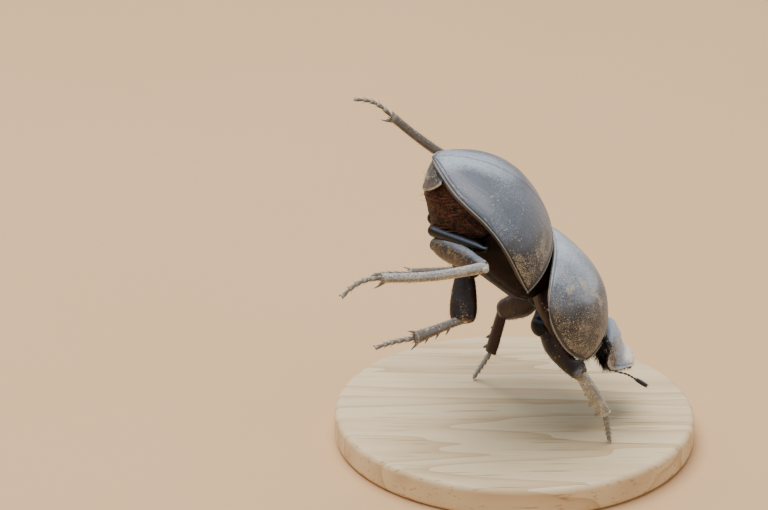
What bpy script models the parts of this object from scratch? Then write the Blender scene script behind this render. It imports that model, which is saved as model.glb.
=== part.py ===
"""A life-size dung beetle, head down on its fore feet with the other legs raised behind it, on an oval base.

The working frame has its origin at the middle of the base's underside, +X the way the head points, +Y to the
beetle's left and +Z up.  Each division of the body hangs on an empty that is pitched head down, so its pieces
are shaped in body directions: X forward, Y to the left, Z to the back of the shell.
"""

from dataclasses import dataclass
from math import cos, pi, radians, sin, sqrt

import bmesh
import bpy
from mathutils import Matrix, Vector

MM = 0.001
GAP = 0.3 * MM                      # air between neighbouring pieces
SHELL = 0.8 * MM                    # thickness of the wing cases and the pronotum
CORE_INSET = SHELL + 0.5 * MM       # how far the body lies inside the outer shell

# Base
BASE_HALF_LENGTH = 23.5 * MM
BASE_HALF_WIDTH = 21.0 * MM
BASE_THICKNESS = 4.0 * MM
BASE_EDGE_ROUND = 0.8 * MM
FOOT_LIFT = GAP                     # the feet stand this far over the base

# Hind body, measured from the rear end of the wing cases' lower edge
HIND_ORIGIN = Vector((-9.9, 0.0, 32.0)) * MM
HIND_PITCH = radians(45.5)
HIND_REAR = -2.9 * MM               # tip of the wing cases
HIND_WIDEST = 8.3 * MM
HIND_FRONT = 14.7 * MM
HIND_HALF_WIDTH = 11.4 * MM
HIND_FRONT_TAPER = 20.5 * MM
DOME_CREST = 8.0 * MM               # where the wing cases are highest
DOME_HEIGHT = 7.15 * MM
DOME_FRONT_TAPER = 9.8 * MM
EDGE_HEIGHT = [
    (-2.9, 1.3), (0.5, 1.6), (2.0, 1.95), (4.5, 2.5), (7.0, 2.5), (9.5, 1.95), (14.6, 0.2), (18.0, -0.6),
]
KEEL_DEPTH = [
    (-3.0, -0.9), (-0.8, -2.6), (1.2, -3.65), (3.2, -4.9), (5.3, -5.9), (8.0, -5.8), (14.0, -4.3),
    (18.5, -3.2),
]
BELLY_POWER = [(-3.0, 1.8), (3.0, 1.4), (8.0, 1.5), (13.0, 2.0), (18.5, 2.2)]
ABDOMEN_FRONT = 6.2 * MM
THORAX_REAR = ABDOMEN_FRONT + GAP
NECK_FRONT = 18.5 * MM
TAIL_PLATE = Vector((-1.0, 0.0, 0.6)) * MM
TAIL_OUTWARDS = Vector((-0.99, 0.0, -0.12)).normalized()
TAIL_HALF_WIDTH = 4.3 * MM
TAIL_HALF_DEPTH = 3.1 * MM
TAIL_BULGE = 1.25 * MM
TAIL_TOP = 0.75 * MM

# Fore body, measured from the middle of the pronotum's hind margin
FORE_ORIGIN = Vector((4.74, 0.0, 23.81)) * MM
FORE_PITCH = radians(61.5)
PRONOTUM_HALF_WIDTH = 10.6 * MM
PRONOTUM_WIDEST = 4.6 * MM
PRONOTUM_TAPER = 11.6 * MM
PRONOTUM_CORNER = 3.9 * MM          # how far the hind angles lie in front of the middle of the hind margin
PRONOTUM_FRONT = 13.3 * MM
PRONOTUM_FRONT_CORNER = 14.1 * MM
PRONOTUM_EDGE = [(0.0, -3.6), (3.9, -4.0), (7.0, -4.4), (10.5, -4.3), (14.1, -3.3)]
PRONOTUM_CROWN = [
    (-0.4, -0.7), (0.0, -0.4), (1.6, 0.8), (5.0, 2.2), (8.5, 2.5), (11.5, 1.6), (13.3, 0.5), (15.0, -0.6),
]
STERNUM_DEPTH = [(1.0, -5.2), (4.0, -6.0), (8.0, -6.1), (12.0, -5.6), (15.0, -4.6)]
FORE_REAR = 2.3 * MM
BREAST_SCALES = [(1.4, 0.9), (3.2, 1.0), (6.0, 1.0), (8.6, 1.0)]  # mm in front of its rear, and share

# Head, measured from where its crown comes out from under the pronotum
HEAD_ORIGIN = Vector((11.5, 0.0, 12.9)) * MM
HEAD_PITCH = radians(59.5)
HEAD_STATIONS = (0.2, 0.6, 1.0, 1.6, 2.2, 3.0, 4.0, 5.0, 5.9, 6.6, 7.1)
HEAD_WIDTHS = [
    (-2.6, 3.3), (0.6, 3.3), (1.5, 3.6), (2.1, 4.4), (2.8, 4.95), (3.8, 5.0), (4.8, 4.6), (6.0, 3.4),
    (7.1, 1.7),
]
HEAD_CROWN = [
    (-2.6, -1.7), (0.6, -1.6), (1.0, 0.2), (2.0, 0.6), (3.6, 0.25), (5.1, 0.05), (6.3, 0.45), (7.1, 0.25),
]
HEAD_THICKNESS = [(-2.6, 2.4), (0.6, 2.2), (1.2, 2.5), (2.0, 1.9), (3.4, 1.6), (5.2, 1.3), (7.1, 0.8)]
HEAD_ARCH = [(0.6, 0.06), (2.0, 0.085), (3.8, 0.09), (4.8, 0.085), (6.0, 0.065), (7.1, 0.05)]  # per sq mm
HEAD_NOTCH = 7.5 * MM               # middle of the notch between its two front teeth
HEAD_HOLLOW = 0.6 * MM              # how far its sides lie in front of the middle, at the rear
EYE_PLACE = Vector((1.6, 4.1, -1.05)) * MM
EYE_HALF_SIZE = Vector((0.8, 0.55, 0.5)) * MM
MOUTH_PLACE = Vector((3.4, 0.0, -2.8)) * MM
MOUTH_SIZE = Vector((2.7, 4.8, 1.3)) * MM
MOUTH_ROUND = 0.45 * MM


# Feelers
FEELER_RADIUS = 0.27 * MM
FEELER_CLUB = (0.45 * MM, 0.3 * MM)  # half width and half thickness


def through(stations, x):
    """Height at x of a smooth curve through the stations, all in millimetres, as metres."""
    x /= MM
    last = len(stations) - 1
    if x <= stations[0][0]:
        return stations[0][1] * MM
    if x >= stations[last][0]:
        return stations[last][1] * MM
    i = max(k for k in range(last) if stations[k][0] <= x)

    def slope(k):
        low, high = stations[max(k - 1, 0)], stations[min(k + 1, last)]
        return (high[1] - low[1]) / (high[0] - low[0])

    (x0, y0), (x1, y1) = stations[i], stations[i + 1]
    span = x1 - x0
    t = (x - x0) / span
    rise = (1 + 2 * t) * (1 - t) ** 2 * y0 + t * t * (3 - 2 * t) * y1
    lean = t * (1 - t) ** 2 * span * slope(i) - t * t * (1 - t) * span * slope(i + 1)
    return (rise + lean) * MM


def material(name, colour, roughness):
    """Principled material of one colour."""
    made = bpy.data.materials.new(name)
    made.use_nodes = True
    shader = made.node_tree.nodes["Principled BSDF"]
    shader.inputs["Base Color"].default_value = (*colour, 1.0)
    shader.inputs["Roughness"].default_value = roughness
    made.diffuse_color = (*colour, 1.0)
    return made


def frame(name, location, pitch):
    """Empty that carries one division of the body, pitched head down."""
    empty = bpy.data.objects.new(name, None)
    empty.empty_display_size = 5 * MM
    empty.location = location
    empty.rotation_euler = (0.0, pitch, 0.0)
    COLLECTION.objects.link(empty)
    bpy.context.view_layer.update()
    return empty


def part(name, bm, finish, parent=None, helper=False):
    """Object made of a finished bmesh, under its parent."""
    mesh = bpy.data.meshes.new(name)
    bmesh.ops.recalc_face_normals(bm, faces=bm.faces)
    bm.to_mesh(mesh)
    bm.free()
    mesh.materials.append(finish)
    mesh.shade_smooth()
    mesh.set_sharp_from_angle(angle=radians(40))
    made = bpy.data.objects.new(name, mesh)
    made.parent = parent
    (HELPERS if helper else COLLECTION).objects.link(made)
    if helper:
        made.hide_render = True
        made.display_type = "WIRE"
    return made


def loft(rings):
    """Closed bmesh through rings of points; a ring of one point is a pole, and an open end gets a cap."""
    bm = bmesh.new()
    rows = [[bm.verts.new(point) for point in ring] for ring in rings]
    for low, high in zip(rows, rows[1:]):
        count = max(len(low), len(high))
        for k in range(count):
            after = (k + 1) % count
            corners = [low[k % len(low)], low[after % len(low)], high[after % len(high)], high[k % len(high)]]
            bm.faces.new(list(dict.fromkeys(corners)))
    for row in (rows[0], rows[-1]):
        if len(row) > 1:
            bm.faces.new(row)
    return bm


def sheet(rows):
    """Open bmesh over a grid of points, with rows that shrink to a point welded."""
    bm = bmesh.new()
    grid = [[bm.verts.new(point) for point in row] for row in rows]
    for low, high in zip(grid, grid[1:]):
        for k in range(len(low) - 1):
            bm.faces.new((low[k], low[k + 1], high[k + 1], high[k]))
    bmesh.ops.remove_doubles(bm, verts=bm.verts, dist=0.001 * MM)
    return bm


def keep_behind(bm, point, normal):
    """Cut the bmesh by a plane, keep what lies behind it and close the cut."""
    cut = bmesh.ops.bisect_plane(
        bm, geom=bm.verts[:] + bm.edges[:] + bm.faces[:], plane_co=point, plane_no=normal, clear_outer=True
    )
    rim = [edge for edge in cut["geom_cut"] if isinstance(edge, bmesh.types.BMEdge)]
    bmesh.ops.contextual_create(bm, geom=rim)
    bmesh.ops.remove_doubles(bm, verts=bm.verts, dist=0.002 * MM)


def boolean(owner, helper, operation):
    """Boolean modifier that joins a helper to the owner or takes it away."""
    modifier = owner.modifiers.new(helper.name, "BOOLEAN")
    modifier.operation = operation
    modifier.solver = "EXACT"
    modifier.object = helper
    modifier.use_self = operation == "UNION"


def thicken(owner):
    """Give an open shell its wall, inwards."""
    modifier = owner.modifiers.new("Wall", "SOLIDIFY")
    modifier.thickness = SHELL
    modifier.offset = -1.0


# --- Outer form of the hind body ---


def hind_half_width(x, inset=0.0):
    """Half width of the wing cases at x."""
    widest = HIND_HALF_WIDTH - inset
    if x >= HIND_WIDEST:
        return widest * sqrt(1 - ((x - HIND_WIDEST) / HIND_FRONT_TAPER) ** 2)
    reach = (HIND_WIDEST - x) / (HIND_WIDEST - HIND_REAR - inset)
    return widest * max(0.0, 1 - reach ** 1.5) ** 0.66


def hind_dome(x, inset=0.0):
    """Height of the wing cases' ridge at x."""
    if x >= DOME_CREST:
        reach = (min(x, HIND_FRONT + 0.6 * MM) - DOME_CREST) / (DOME_FRONT_TAPER - inset * 0.4)
        return (DOME_HEIGHT - inset) * sqrt(1 - reach ** 2)
    reach = (DOME_CREST - x) / (DOME_CREST - HIND_REAR - inset)
    edge = through(EDGE_HEIGHT, x)
    return edge + (DOME_HEIGHT - inset - edge) * max(0.0, 1 - reach ** 1.5) ** 0.72


def hind_shell_point(x, angle, inset=0.0):
    """Point of the dome at x, with the angle measured from the ridge towards the left edge."""
    edge = through(EDGE_HEIGHT, x)
    rise = max(hind_dome(x, inset) - edge, 0.0)
    return Vector((x, hind_half_width(x, inset) * sin(angle), edge + rise * cos(angle)))


def belly_ring(x, inset, outset=0.0, columns=9):
    """Ring of the body under the wing cases: over the inset dome, then round the belly."""
    over = [hind_shell_point(x, radians(-90 + 180 * k / columns), inset) for k in range(columns + 1)]
    for point in over:
        point.z += outset
    edge, half_width = over[-1].z, over[-1].y + outset
    keel = through(KEEL_DEPTH, x) - outset
    power = 2 / (through(BELLY_POWER, x) / MM)
    under = []
    for k in range(1, columns):
        angle = pi * k / columns
        side, down = cos(angle), sin(angle)
        across = abs(side) ** power * (1 if side > 0 else -1)
        under.append(Vector((x, half_width * across, edge - (edge - keel) * down ** power)))
    over[0].y -= outset
    over[-1].y += outset
    return over + under


# --- Outer form of the fore body ---


def pronotum_half_width(x, inset=0.0):
    """Half width of the pronotum at x."""
    taper = PRONOTUM_TAPER - inset * 0.3
    return (PRONOTUM_HALF_WIDTH - inset) * sqrt(1 - ((x - PRONOTUM_WIDEST) / taper) ** 2)


def pronotum_point(along, angle, inset=0.0):
    """Point of the pronotum: along from hind to front margin, and the angle from its middle to the left."""
    turn = abs(angle) / (pi / 2)
    hind = PRONOTUM_CORNER * turn ** 4
    front = PRONOTUM_FRONT + (PRONOTUM_FRONT_CORNER - PRONOTUM_FRONT) * turn ** 1.5
    x = hind + (front - hind) * along
    crown = through(PRONOTUM_CROWN, x) - inset
    edge = through(PRONOTUM_EDGE, x)
    return Vector((x, pronotum_half_width(x, inset) * sin(angle), edge + (crown - edge) * cos(angle)))


def prothorax_ring(x, scale=1.0, outset=0.0, columns=9):
    """Ring of the prothorax inside and below the pronotum."""
    half_width = pronotum_half_width(x, CORE_INSET) * scale
    crown = (through(PRONOTUM_CROWN, x) - CORE_INSET) * scale
    edge = through(PRONOTUM_EDGE, x)
    ring = []
    for k in range(columns + 1):
        angle = radians(-90 + 180 * k / columns)
        rise = crown - edge + outset
        ring.append(Vector((x, (half_width + outset) * sin(angle), edge + rise * cos(angle))))
    depth = edge - through(STERNUM_DEPTH, x) * (0.5 + 0.5 * scale) + outset
    for k in range(1, columns):
        angle = pi * k / columns
        ring.append(Vector((x, (half_width + outset) * cos(angle), edge - depth * sin(angle))))
    return ring


def pronotum_room_ring(x, columns=9):
    """Ring a gap outside the pronotum, closed straight across under its edges."""
    half_width = pronotum_half_width(x, -GAP)
    crown = through(PRONOTUM_CROWN, x) + GAP
    edge = through(PRONOTUM_EDGE, x) - GAP
    turns = [radians(-90 + 180 * k / columns) for k in range(columns + 1)]
    return [Vector((x, half_width * sin(turn), edge + (crown - edge) * cos(turn))) for turn in turns]


# --- Limbs ---


@dataclass
class Leg:
    """Joints of one leg in the working frame, in millimetres over the base's upper face."""

    name: str
    hip: tuple
    knee: tuple
    ankle: tuple
    toe: tuple
    coxa_inner: tuple
    coxa_outer: tuple
    thigh_broad: tuple              # way that the flat of the thigh is wide
    shin_broad: tuple               # way that the flat of the shin is wide, and its teeth point
    thigh: list                     # (distance from the hip, half width, half thickness)
    shin: list                      # (distance from the knee, half width, half thickness)
    foot_half_width: float
    coxa_radius: float
    shin_bow: float = 0.0           # how far the middle of the shin stands towards its broad side
    foot_arch: float = 0.0          # how far the middle of the foot is raised


def joint(point):
    """Place of a joint in the working frame."""
    return Vector(point) * MM + Vector((0.0, 0.0, BASE_THICKNESS + FOOT_LIFT))


def limb_axes(start, end, broad):
    """Length and axes of a segment: along it, across its flat, and through its flat."""
    along = end - start
    length = along.length
    along.normalize()
    wide = Vector(broad)
    wide = (wide - along * wide.dot(along)).normalized()
    return length, along, wide, along.cross(wide)


def limb(start, end, broad, stations, sides=8, bow=0.0):
    """Rings of a flattened limb segment, bowed across its flat, with round ends past both joints."""
    length, along, wide, thin = limb_axes(start, end, broad)

    def ring(distance, half_width, half_thickness):
        share = min(max(distance / length, 0.0), 1.0)
        middle = start + along * distance + wide * bow * MM * sin(pi * share)
        turns = [2 * pi * (k + 0.5) / sides for k in range(sides)]
        return [middle + wide * half_width * cos(turn) + thin * half_thickness * sin(turn) for turn in turns]

    scaled = [(distance * MM, width * MM, depth * MM) for distance, width, depth in stations]
    scaled[-1] = (length, *scaled[-1][1:])
    first, final = scaled[0], scaled[-1]
    rings = [[start - along * first[1]], ring(-0.7 * first[1], 0.7 * first[1], 0.7 * first[2])]
    rings += [ring(*station) for station in scaled]
    rings += [ring(length + 0.7 * final[1], 0.7 * final[1], 0.7 * final[2]), [end + along * final[1]]]
    return rings


def mitre(bm, corner, before, after, keep_first):
    """Cut a segment on the plane that halves the bend at a joint, leaving half the gap."""
    normal = ((corner - before).normalized() + (after - corner).normalized()).normalized()
    if keep_first:
        keep_behind(bm, corner - normal * GAP / 2, normal)
    else:
        keep_behind(bm, corner + normal * GAP / 2, -normal)


def spikes(name, roots, finish):
    """Hidden mesh of tapered teeth: each has its root, its tip and its radius at the root."""
    bm = bmesh.new()
    for root, tip, radius in roots:
        lean = (tip - root).to_track_quat("Z", "X").to_matrix().to_4x4()
        place = Matrix.Translation((root + tip) / 2) @ lean
        bmesh.ops.create_cone(
            bm, cap_ends=True, segments=5, radius1=radius, radius2=radius * 0.3,
            depth=(tip - root).length, matrix=place,
        )
    return part(name, bm, finish, helper=True)


def shin_teeth(leg, knee, ankle):
    """Teeth, spines and spurs of a shin, as roots for spikes."""
    length, along, wide, _ = limb_axes(knee, ankle, leg.shin_broad)
    if leg.name.startswith("fore"):
        teeth = [(0.2, 0.85, 0.38), (0.44, 1.1, 0.42), (0.67, 1.25, 0.44), (0.89, 1.4, 0.46)]
        roots = []
        for share, reach, radius in teeth:
            root = knee + along * length * share + wide * 0.35 * MM
            tip = root + (wide + along * 0.6).normalized() * reach * MM
            roots.append((root, tip, radius * MM))
        return roots
    sides = (1, -1) if leg.name.startswith("mid") else (1,)
    roots = []
    for side in sides:
        root = ankle - along * 0.6 * MM + wide * side * 0.3 * MM
        roots.append((root, root + (along + wide * side * 0.6).normalized() * 1.9 * MM, 0.28 * MM))
    if leg.name.startswith("mid"):
        for share in (0.3, 0.52, 0.74):
            root = knee + along * length * share + wide * 0.15 * MM
            roots.append((root, root + (wide + along * 0.8).normalized() * 1.15 * MM, 0.26 * MM))
    return roots


def foot_rings(ankle, toe, half_width, arch, beads=5):
    """Rings of a foot: bead-like joints, each wider towards its front end, along a low arch."""
    along = (toe - ankle).normalized()
    side = along.cross(Vector((0.0, 0.0, 1.0))).normalized()
    lift = side.cross(along)
    step = (toe - ankle).length / beads

    def ring(distance, radius, sides=6):
        turns = [2 * pi * k / sides for k in range(sides)]
        middle = ankle + along * distance + lift * arch * sin(pi * distance / (step * beads))
        return [middle + (side * cos(turn) + lift * sin(turn)) * radius for turn in turns]

    rings = [ring(0.0, half_width * 0.7)]
    for bead in range(beads):
        rings.append(ring((bead + 0.68) * step, half_width))
        if bead < beads - 1:
            rings.append(ring((bead + 1.0) * step, half_width * 0.68))
    rings.append([toe])
    return rings


def build_leg(leg, finishes, body_cutters):
    """Hip piece, thigh, shin and foot of one leg."""
    hip, knee, ankle, toe = (joint(place) for place in (leg.hip, leg.knee, leg.ankle, leg.toe))
    inner, outer = joint(leg.coxa_inner), joint(leg.coxa_outer)

    def coxa_rings(radius):
        reach = (outer - inner).length / MM
        return limb(inner, outer, knee - hip, [(0.0, radius, radius), (reach, radius, radius)])

    made = part(f"{leg.name}_coxa", loft(coxa_rings(leg.coxa_radius)), finishes["glossy"])
    for cutter in body_cutters:
        boolean(made, cutter, "DIFFERENCE")

    thigh = loft(limb(hip, knee, leg.thigh_broad, leg.thigh))
    mitre(thigh, knee, hip, ankle, keep_first=True)
    made = part(f"{leg.name}_femur", thigh, finishes["leg"])
    for cutter in body_cutters:
        boolean(made, cutter, "DIFFERENCE")
    room = loft(coxa_rings(leg.coxa_radius + GAP / MM))
    boolean(made, part(f"{leg.name}_coxa_room", room, finishes["leg"], helper=True), "DIFFERENCE")

    shin = loft(limb(knee, ankle, leg.shin_broad, leg.shin, bow=leg.shin_bow))
    mitre(shin, knee, hip, ankle, keep_first=False)
    along = (ankle - knee).normalized()
    keep_behind(shin, ankle - along * GAP / 2, along)
    made = part(f"{leg.name}_tibia", shin, finishes["dusty"])
    boolean(made, spikes(f"{leg.name}_teeth", shin_teeth(leg, knee, ankle), finishes["dusty"]), "UNION")

    start = ankle + (toe - ankle).normalized() * GAP
    foot = loft(foot_rings(start, toe, leg.foot_half_width * MM, leg.foot_arch * MM))
    part(f"{leg.name}_tarsus", foot, finishes["dusty"])


HIND_THIGH = [(0.0, 0.9, 0.8), (2.5, 1.3, 0.95), (8.0, 1.25, 0.9), (11.5, 0.9, 0.75), (13.4, 0.8, 0.7)]
HIND_SHIN = [(0.0, 0.7, 0.6), (3.0, 0.62, 0.5), (9.0, 0.55, 0.45), (14.0, 0.5, 0.45)]
MID_THIGH = [(0.0, 0.9, 0.8), (2.0, 1.35, 1.0), (5.0, 1.6, 1.05), (6.8, 1.25, 0.9), (7.7, 0.95, 0.8)]
MID_SHIN = [(0.0, 0.55, 0.5), (2.5, 0.5, 0.45), (7.0, 0.75, 0.55)]
FORE_THIGH = [(0.0, 0.7, 0.7), (2.5, 1.6, 1.2), (5.5, 1.5, 1.1), (7.4, 1.1, 0.9), (8.1, 0.9, 0.85)]
FORE_SHIN = [(0.0, 0.75, 0.6), (2.0, 0.8, 0.55), (5.0, 0.85, 0.5), (6.6, 0.7, 0.45)]

LEGS = [
    Leg("fore_right", (3.0, -4.5, 13.7), (7.5, -9.5, 9.8), (10.9, -9.3, 3.9), (11.6, -9.2, 0.0),
        (4.4, -2.2, 16.2), (3.0, -4.3, 13.9), (-1.0, 0.2, -0.7), (-1.0, 0.15, 0.0),
        FORE_THIGH, FORE_SHIN, 0.45, 1.7),
    Leg("fore_left", (3.0, 4.5, 13.3), (-1.3, 8.2, 9.7), (-2.8, 7.5, 3.9), (-5.0, 7.6, 0.0),
        (4.4, 2.2, 16.2), (3.0, 4.3, 13.9), (0.0, 0.0, 1.0), (-1.0, 0.9, 0.0),
        FORE_THIGH, FORE_SHIN, 0.45, 1.7),
    Leg("mid_right", (-7.0, -6.4, 22.6), (-7.3, -9.5, 17.4), (-13.2, -13.5, 16.8), (-18.2, -15.6, 16.5),
        (-4.8, -3.2, 23.0), (-6.2, -6.3, 22.8), (1.0, 0.0, 0.0), (0.3, 0.0, -1.0),
        MID_THIGH, MID_SHIN, 0.4, 1.4, foot_arch=0.2),
    Leg("mid_left", (-7.0, 6.4, 22.6), (-6.8, 9.5, 15.1), (-13.3, 13.5, 12.5), (-18.6, 15.6, 11.4),
        (-4.8, 3.2, 23.0), (-6.2, 6.3, 22.8), (1.0, 0.0, 0.0), (0.3, 0.0, -1.0),
        MID_THIGH, MID_SHIN, 0.4, 1.4, foot_arch=0.2),
    Leg("hind_right", (-10.5, -2.6, 24.3), (-5.1, -13.9, 26.5), (-17.3, -17.4, 26.8), (-22.1, -20.1, 25.5),
        (-10.6, -1.9, 25.9), (-4.8, -10.4, 27.3), (0.3, 0.0, 1.0), (0.0, 0.0, -1.0),
        HIND_THIGH, HIND_SHIN, 0.38, 1.0, shin_bow=0.45, foot_arch=0.8),
    Leg("hind_left", (-10.5, 2.6, 24.3), (-4.8, 14.0, 26.8), (-16.0, 16.8, 33.9), (-21.0, 17.6, 36.0),
        (-10.6, 1.9, 25.9), (-4.8, 10.4, 27.3), (0.3, 0.0, 1.0), (0.0, 0.0, -1.0),
        HIND_THIGH, HIND_SHIN, 0.38, 1.0, shin_bow=0.45, foot_arch=0.8),
]


# --- Divisions of the body ---


def build_base(finish):
    """Oval plate with rounded edges."""
    bm = bmesh.new()
    bmesh.ops.create_cone(
        bm, cap_ends=True, segments=48, radius1=BASE_HALF_LENGTH, radius2=BASE_HALF_LENGTH,
        depth=BASE_THICKNESS,
        matrix=Matrix.Translation((0.0, 0.0, BASE_THICKNESS / 2)),
    )
    bmesh.ops.scale(bm, verts=bm.verts, vec=(1.0, BASE_HALF_WIDTH / BASE_HALF_LENGTH, 1.0))
    plate = part("stand_base", bm, finish)
    bevel = plate.modifiers.new("Edge", "BEVEL")
    bevel.width = BASE_EDGE_ROUND
    bevel.segments = 2
    bevel.limit_method = "ANGLE"
    bevel.angle_limit = radians(50)


def build_wing_case(side, hind, finish):
    """One wing case: a quarter dome from the middle seam out to the lower edge."""
    rear_rows, front_rows, columns = 6, 5, 8
    seam = GAP / 2
    rows = []
    for row in range(rear_rows + front_rows + 1):
        points = []
        for column in range(columns + 1):
            angle = pi / 2 * column / columns
            front = HIND_FRONT + 0.35 * MM * cos(angle) ** 2
            if row <= rear_rows:
                x = HIND_WIDEST - (HIND_WIDEST - HIND_REAR) * cos(pi / 2 * row / rear_rows)
            else:
                x = HIND_WIDEST + (front - HIND_WIDEST) * (row - rear_rows) / front_rows
            point = hind_shell_point(x, angle)
            point.y = side * (seam + max(point.y - seam * (1 - sin(angle)), 0.0))
            points.append(point)
        rows.append(points if side < 0 else points[::-1])
    name = "wing_case_left" if side > 0 else "wing_case_right"
    bm = sheet(rows)
    case = part(name, bm, finish, hind)
    thicken(case)


def build_hind_body(hind, fore, finishes):
    """Abdomen, tail plate and the thorax that carries the middle and hind legs."""
    stations = [HIND_REAR + CORE_INSET + 0.05 * MM + step * MM for step in (0.0, 0.5, 1.3, 2.6, 4.2, 5.6)]
    stations.append(ABDOMEN_FRONT)
    abdomen = loft([belly_ring(x, CORE_INSET) for x in stations])
    keep_behind(abdomen, TAIL_PLATE - TAIL_OUTWARDS * GAP, TAIL_OUTWARDS)
    part("abdomen", abdomen, finishes["belly"], hind)

    plate = bmesh.new()
    bmesh.ops.create_uvsphere(plate, u_segments=16, v_segments=8, radius=1.0)
    turn = TAIL_OUTWARDS.to_track_quat("Z", "Y").to_matrix().to_4x4()
    size = Matrix.Diagonal((TAIL_HALF_WIDTH, TAIL_HALF_DEPTH, TAIL_BULGE, 1.0))
    bmesh.ops.transform(plate, verts=plate.verts, matrix=Matrix.Translation(TAIL_PLATE) @ turn @ size)
    keep_behind(plate, TAIL_PLATE, -TAIL_OUTWARDS)
    keep_behind(plate, Vector((0.0, 0.0, TAIL_TOP)), Vector((0.0, 0.0, 1.0)))
    part("pygidium", plate, finishes["case"], hind)

    stations = [THORAX_REAR + step * MM for step in (0.0, 2.0, 4.0, 6.0, 7.5, 8.6)]
    rings = [belly_ring(x, CORE_INSET) for x in stations]
    neck = belly_ring(NECK_FRONT, CORE_INSET)
    middle = Vector((NECK_FRONT, 0.0, -0.4 * MM))
    rings.append([middle + Vector((0.0, (p.y - middle.y) * 0.72, (p.z - middle.z) * 0.8)) for p in neck])
    thorax = loft(rings)
    to_hind = hind.matrix_world.inverted() @ fore.matrix_world
    point = to_hind @ Vector((FORE_REAR - GAP, 0.0, 0.0))
    normal = to_hind.to_3x3() @ Vector((1.0, 0.0, 0.0))
    keep_behind(thorax, point, normal)
    part("hind_thorax", thorax, finishes["belly"], hind)


def build_fore_body(fore, finishes):
    """Pronotum and the prothorax under it."""
    rows_along, columns = 9, 18
    rows = []
    for row in range(rows_along + 1):
        along = row / rows_along
        rows.append([pronotum_point(along, radians(90 - 180 * k / columns)) for k in range(columns + 1)])
    shell = part("pronotum", sheet(rows), finishes["case"], fore)
    thicken(shell)

    stations = [(0.0, 0.72), *BREAST_SCALES, (10.4, 0.97)]
    prothorax = loft([prothorax_ring(FORE_REAR + x * MM, scale) for x, scale in stations])
    part("prothorax", prothorax, finishes["belly"], fore)


def head_ring(x, columns=10):
    """Ring of the head: an arched crown, a thin rim and an underside that is hollow in front."""
    half_width = through(HEAD_WIDTHS, x)
    crown = through(HEAD_CROWN, x)
    hollow = HEAD_HOLLOW * min(1.0, max(0.0, 1 - x / (6 * MM)))
    arch = through(HEAD_ARCH, x) / MM
    ring = []
    for k in range(columns + 1):
        across = -cos(pi * k / columns)
        drop = arch * (across * half_width / MM) ** 2 * MM
        height = crown - drop - 0.25 * MM * across ** 6
        ring.append(Vector((x + hollow * across ** 2, half_width * across, height)))
    rim = ring[-1].z
    floor = crown - through(HEAD_THICKNESS, x)
    for k in range(1, columns):
        across = cos(pi * k / columns)
        low = rim - 0.3 * MM + (floor - rim) * (1 - across ** 2)
        ring.append(Vector((x + hollow * across ** 2, half_width * across * 0.97, low)))
    return ring


def build_head(head, finishes):
    """Shovel-shaped head with its eyes and mouth."""
    shield = part("head", loft([head_ring(x * MM) for x in HEAD_STATIONS]), finishes["case"], head)
    notch = bmesh.new()
    bmesh.ops.create_cone(
        notch, cap_ends=True, segments=3, radius1=1.1 * MM, radius2=1.1 * MM, depth=4 * MM,
        matrix=Matrix.Translation((HEAD_NOTCH, 0.0, 0.0)) @ Matrix.Rotation(radians(30), 4, "Z"),
    )
    boolean(shield, part("clypeus_notch", notch, finishes["case"], head, helper=True), "DIFFERENCE")

    for side, name in ((-1, "eye_right"), (1, "eye_left")):
        place = Matrix.Translation((EYE_PLACE.x, side * EYE_PLACE.y, EYE_PLACE.z))
        for grow in (0.0, GAP):
            eye = bmesh.new()
            bmesh.ops.create_uvsphere(eye, u_segments=10, v_segments=6, radius=1.0)
            size = Matrix.Diagonal((*(half + grow for half in EYE_HALF_SIZE), 1.0))
            bmesh.ops.transform(eye, verts=eye.verts, matrix=place @ size)
            if grow:
                socket = part(f"{name}_socket", eye, finishes["case"], head, helper=True)
                boolean(shield, socket, "DIFFERENCE")
            else:
                part(name, eye, finishes["eye"], head)

    mouth = bmesh.new()
    bmesh.ops.create_cube(mouth, size=1.0)
    size = Matrix.Diagonal((*MOUTH_SIZE, 1.0))
    bmesh.ops.transform(mouth, verts=mouth.verts, matrix=Matrix.Translation(MOUTH_PLACE) @ size)
    block = part("mouthparts", mouth, finishes["belly"], head)
    bevel = block.modifiers.new("Round", "BEVEL")
    bevel.width = MOUTH_ROUND
    bevel.segments = 2


def build_feeler(name, points, finish):
    """Feeler: a thin bent stalk with a flat club at its end."""
    places = [joint(point) for point in points]
    rings = []
    sides = 6
    for index, place in enumerate(places):
        ahead = places[min(index + 1, len(places) - 1)] - places[max(index - 1, 0)]
        ahead.normalize()
        wide = ahead.cross(Vector((0.0, 1.0, 0.0))).normalized()
        thin = ahead.cross(wide)
        size = FEELER_CLUB if index >= len(places) - 3 else (FEELER_RADIUS, FEELER_RADIUS)
        share = 0.75 if index in (len(places) - 1, len(places) - 3) else 1.0
        rings.append([
            place + wide * size[0] * share * cos(2 * pi * k / sides)
            + thin * size[1] * share * sin(2 * pi * k / sides)
            for k in range(sides)
        ])
    part(name, loft(rings), finish)


def body_room(name, rings, parent, finish):
    """Hidden solid a gap larger than a division of the body, which keeps the legs clear of it."""
    return part(name, loft(rings), finish, parent, helper=True)


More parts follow.
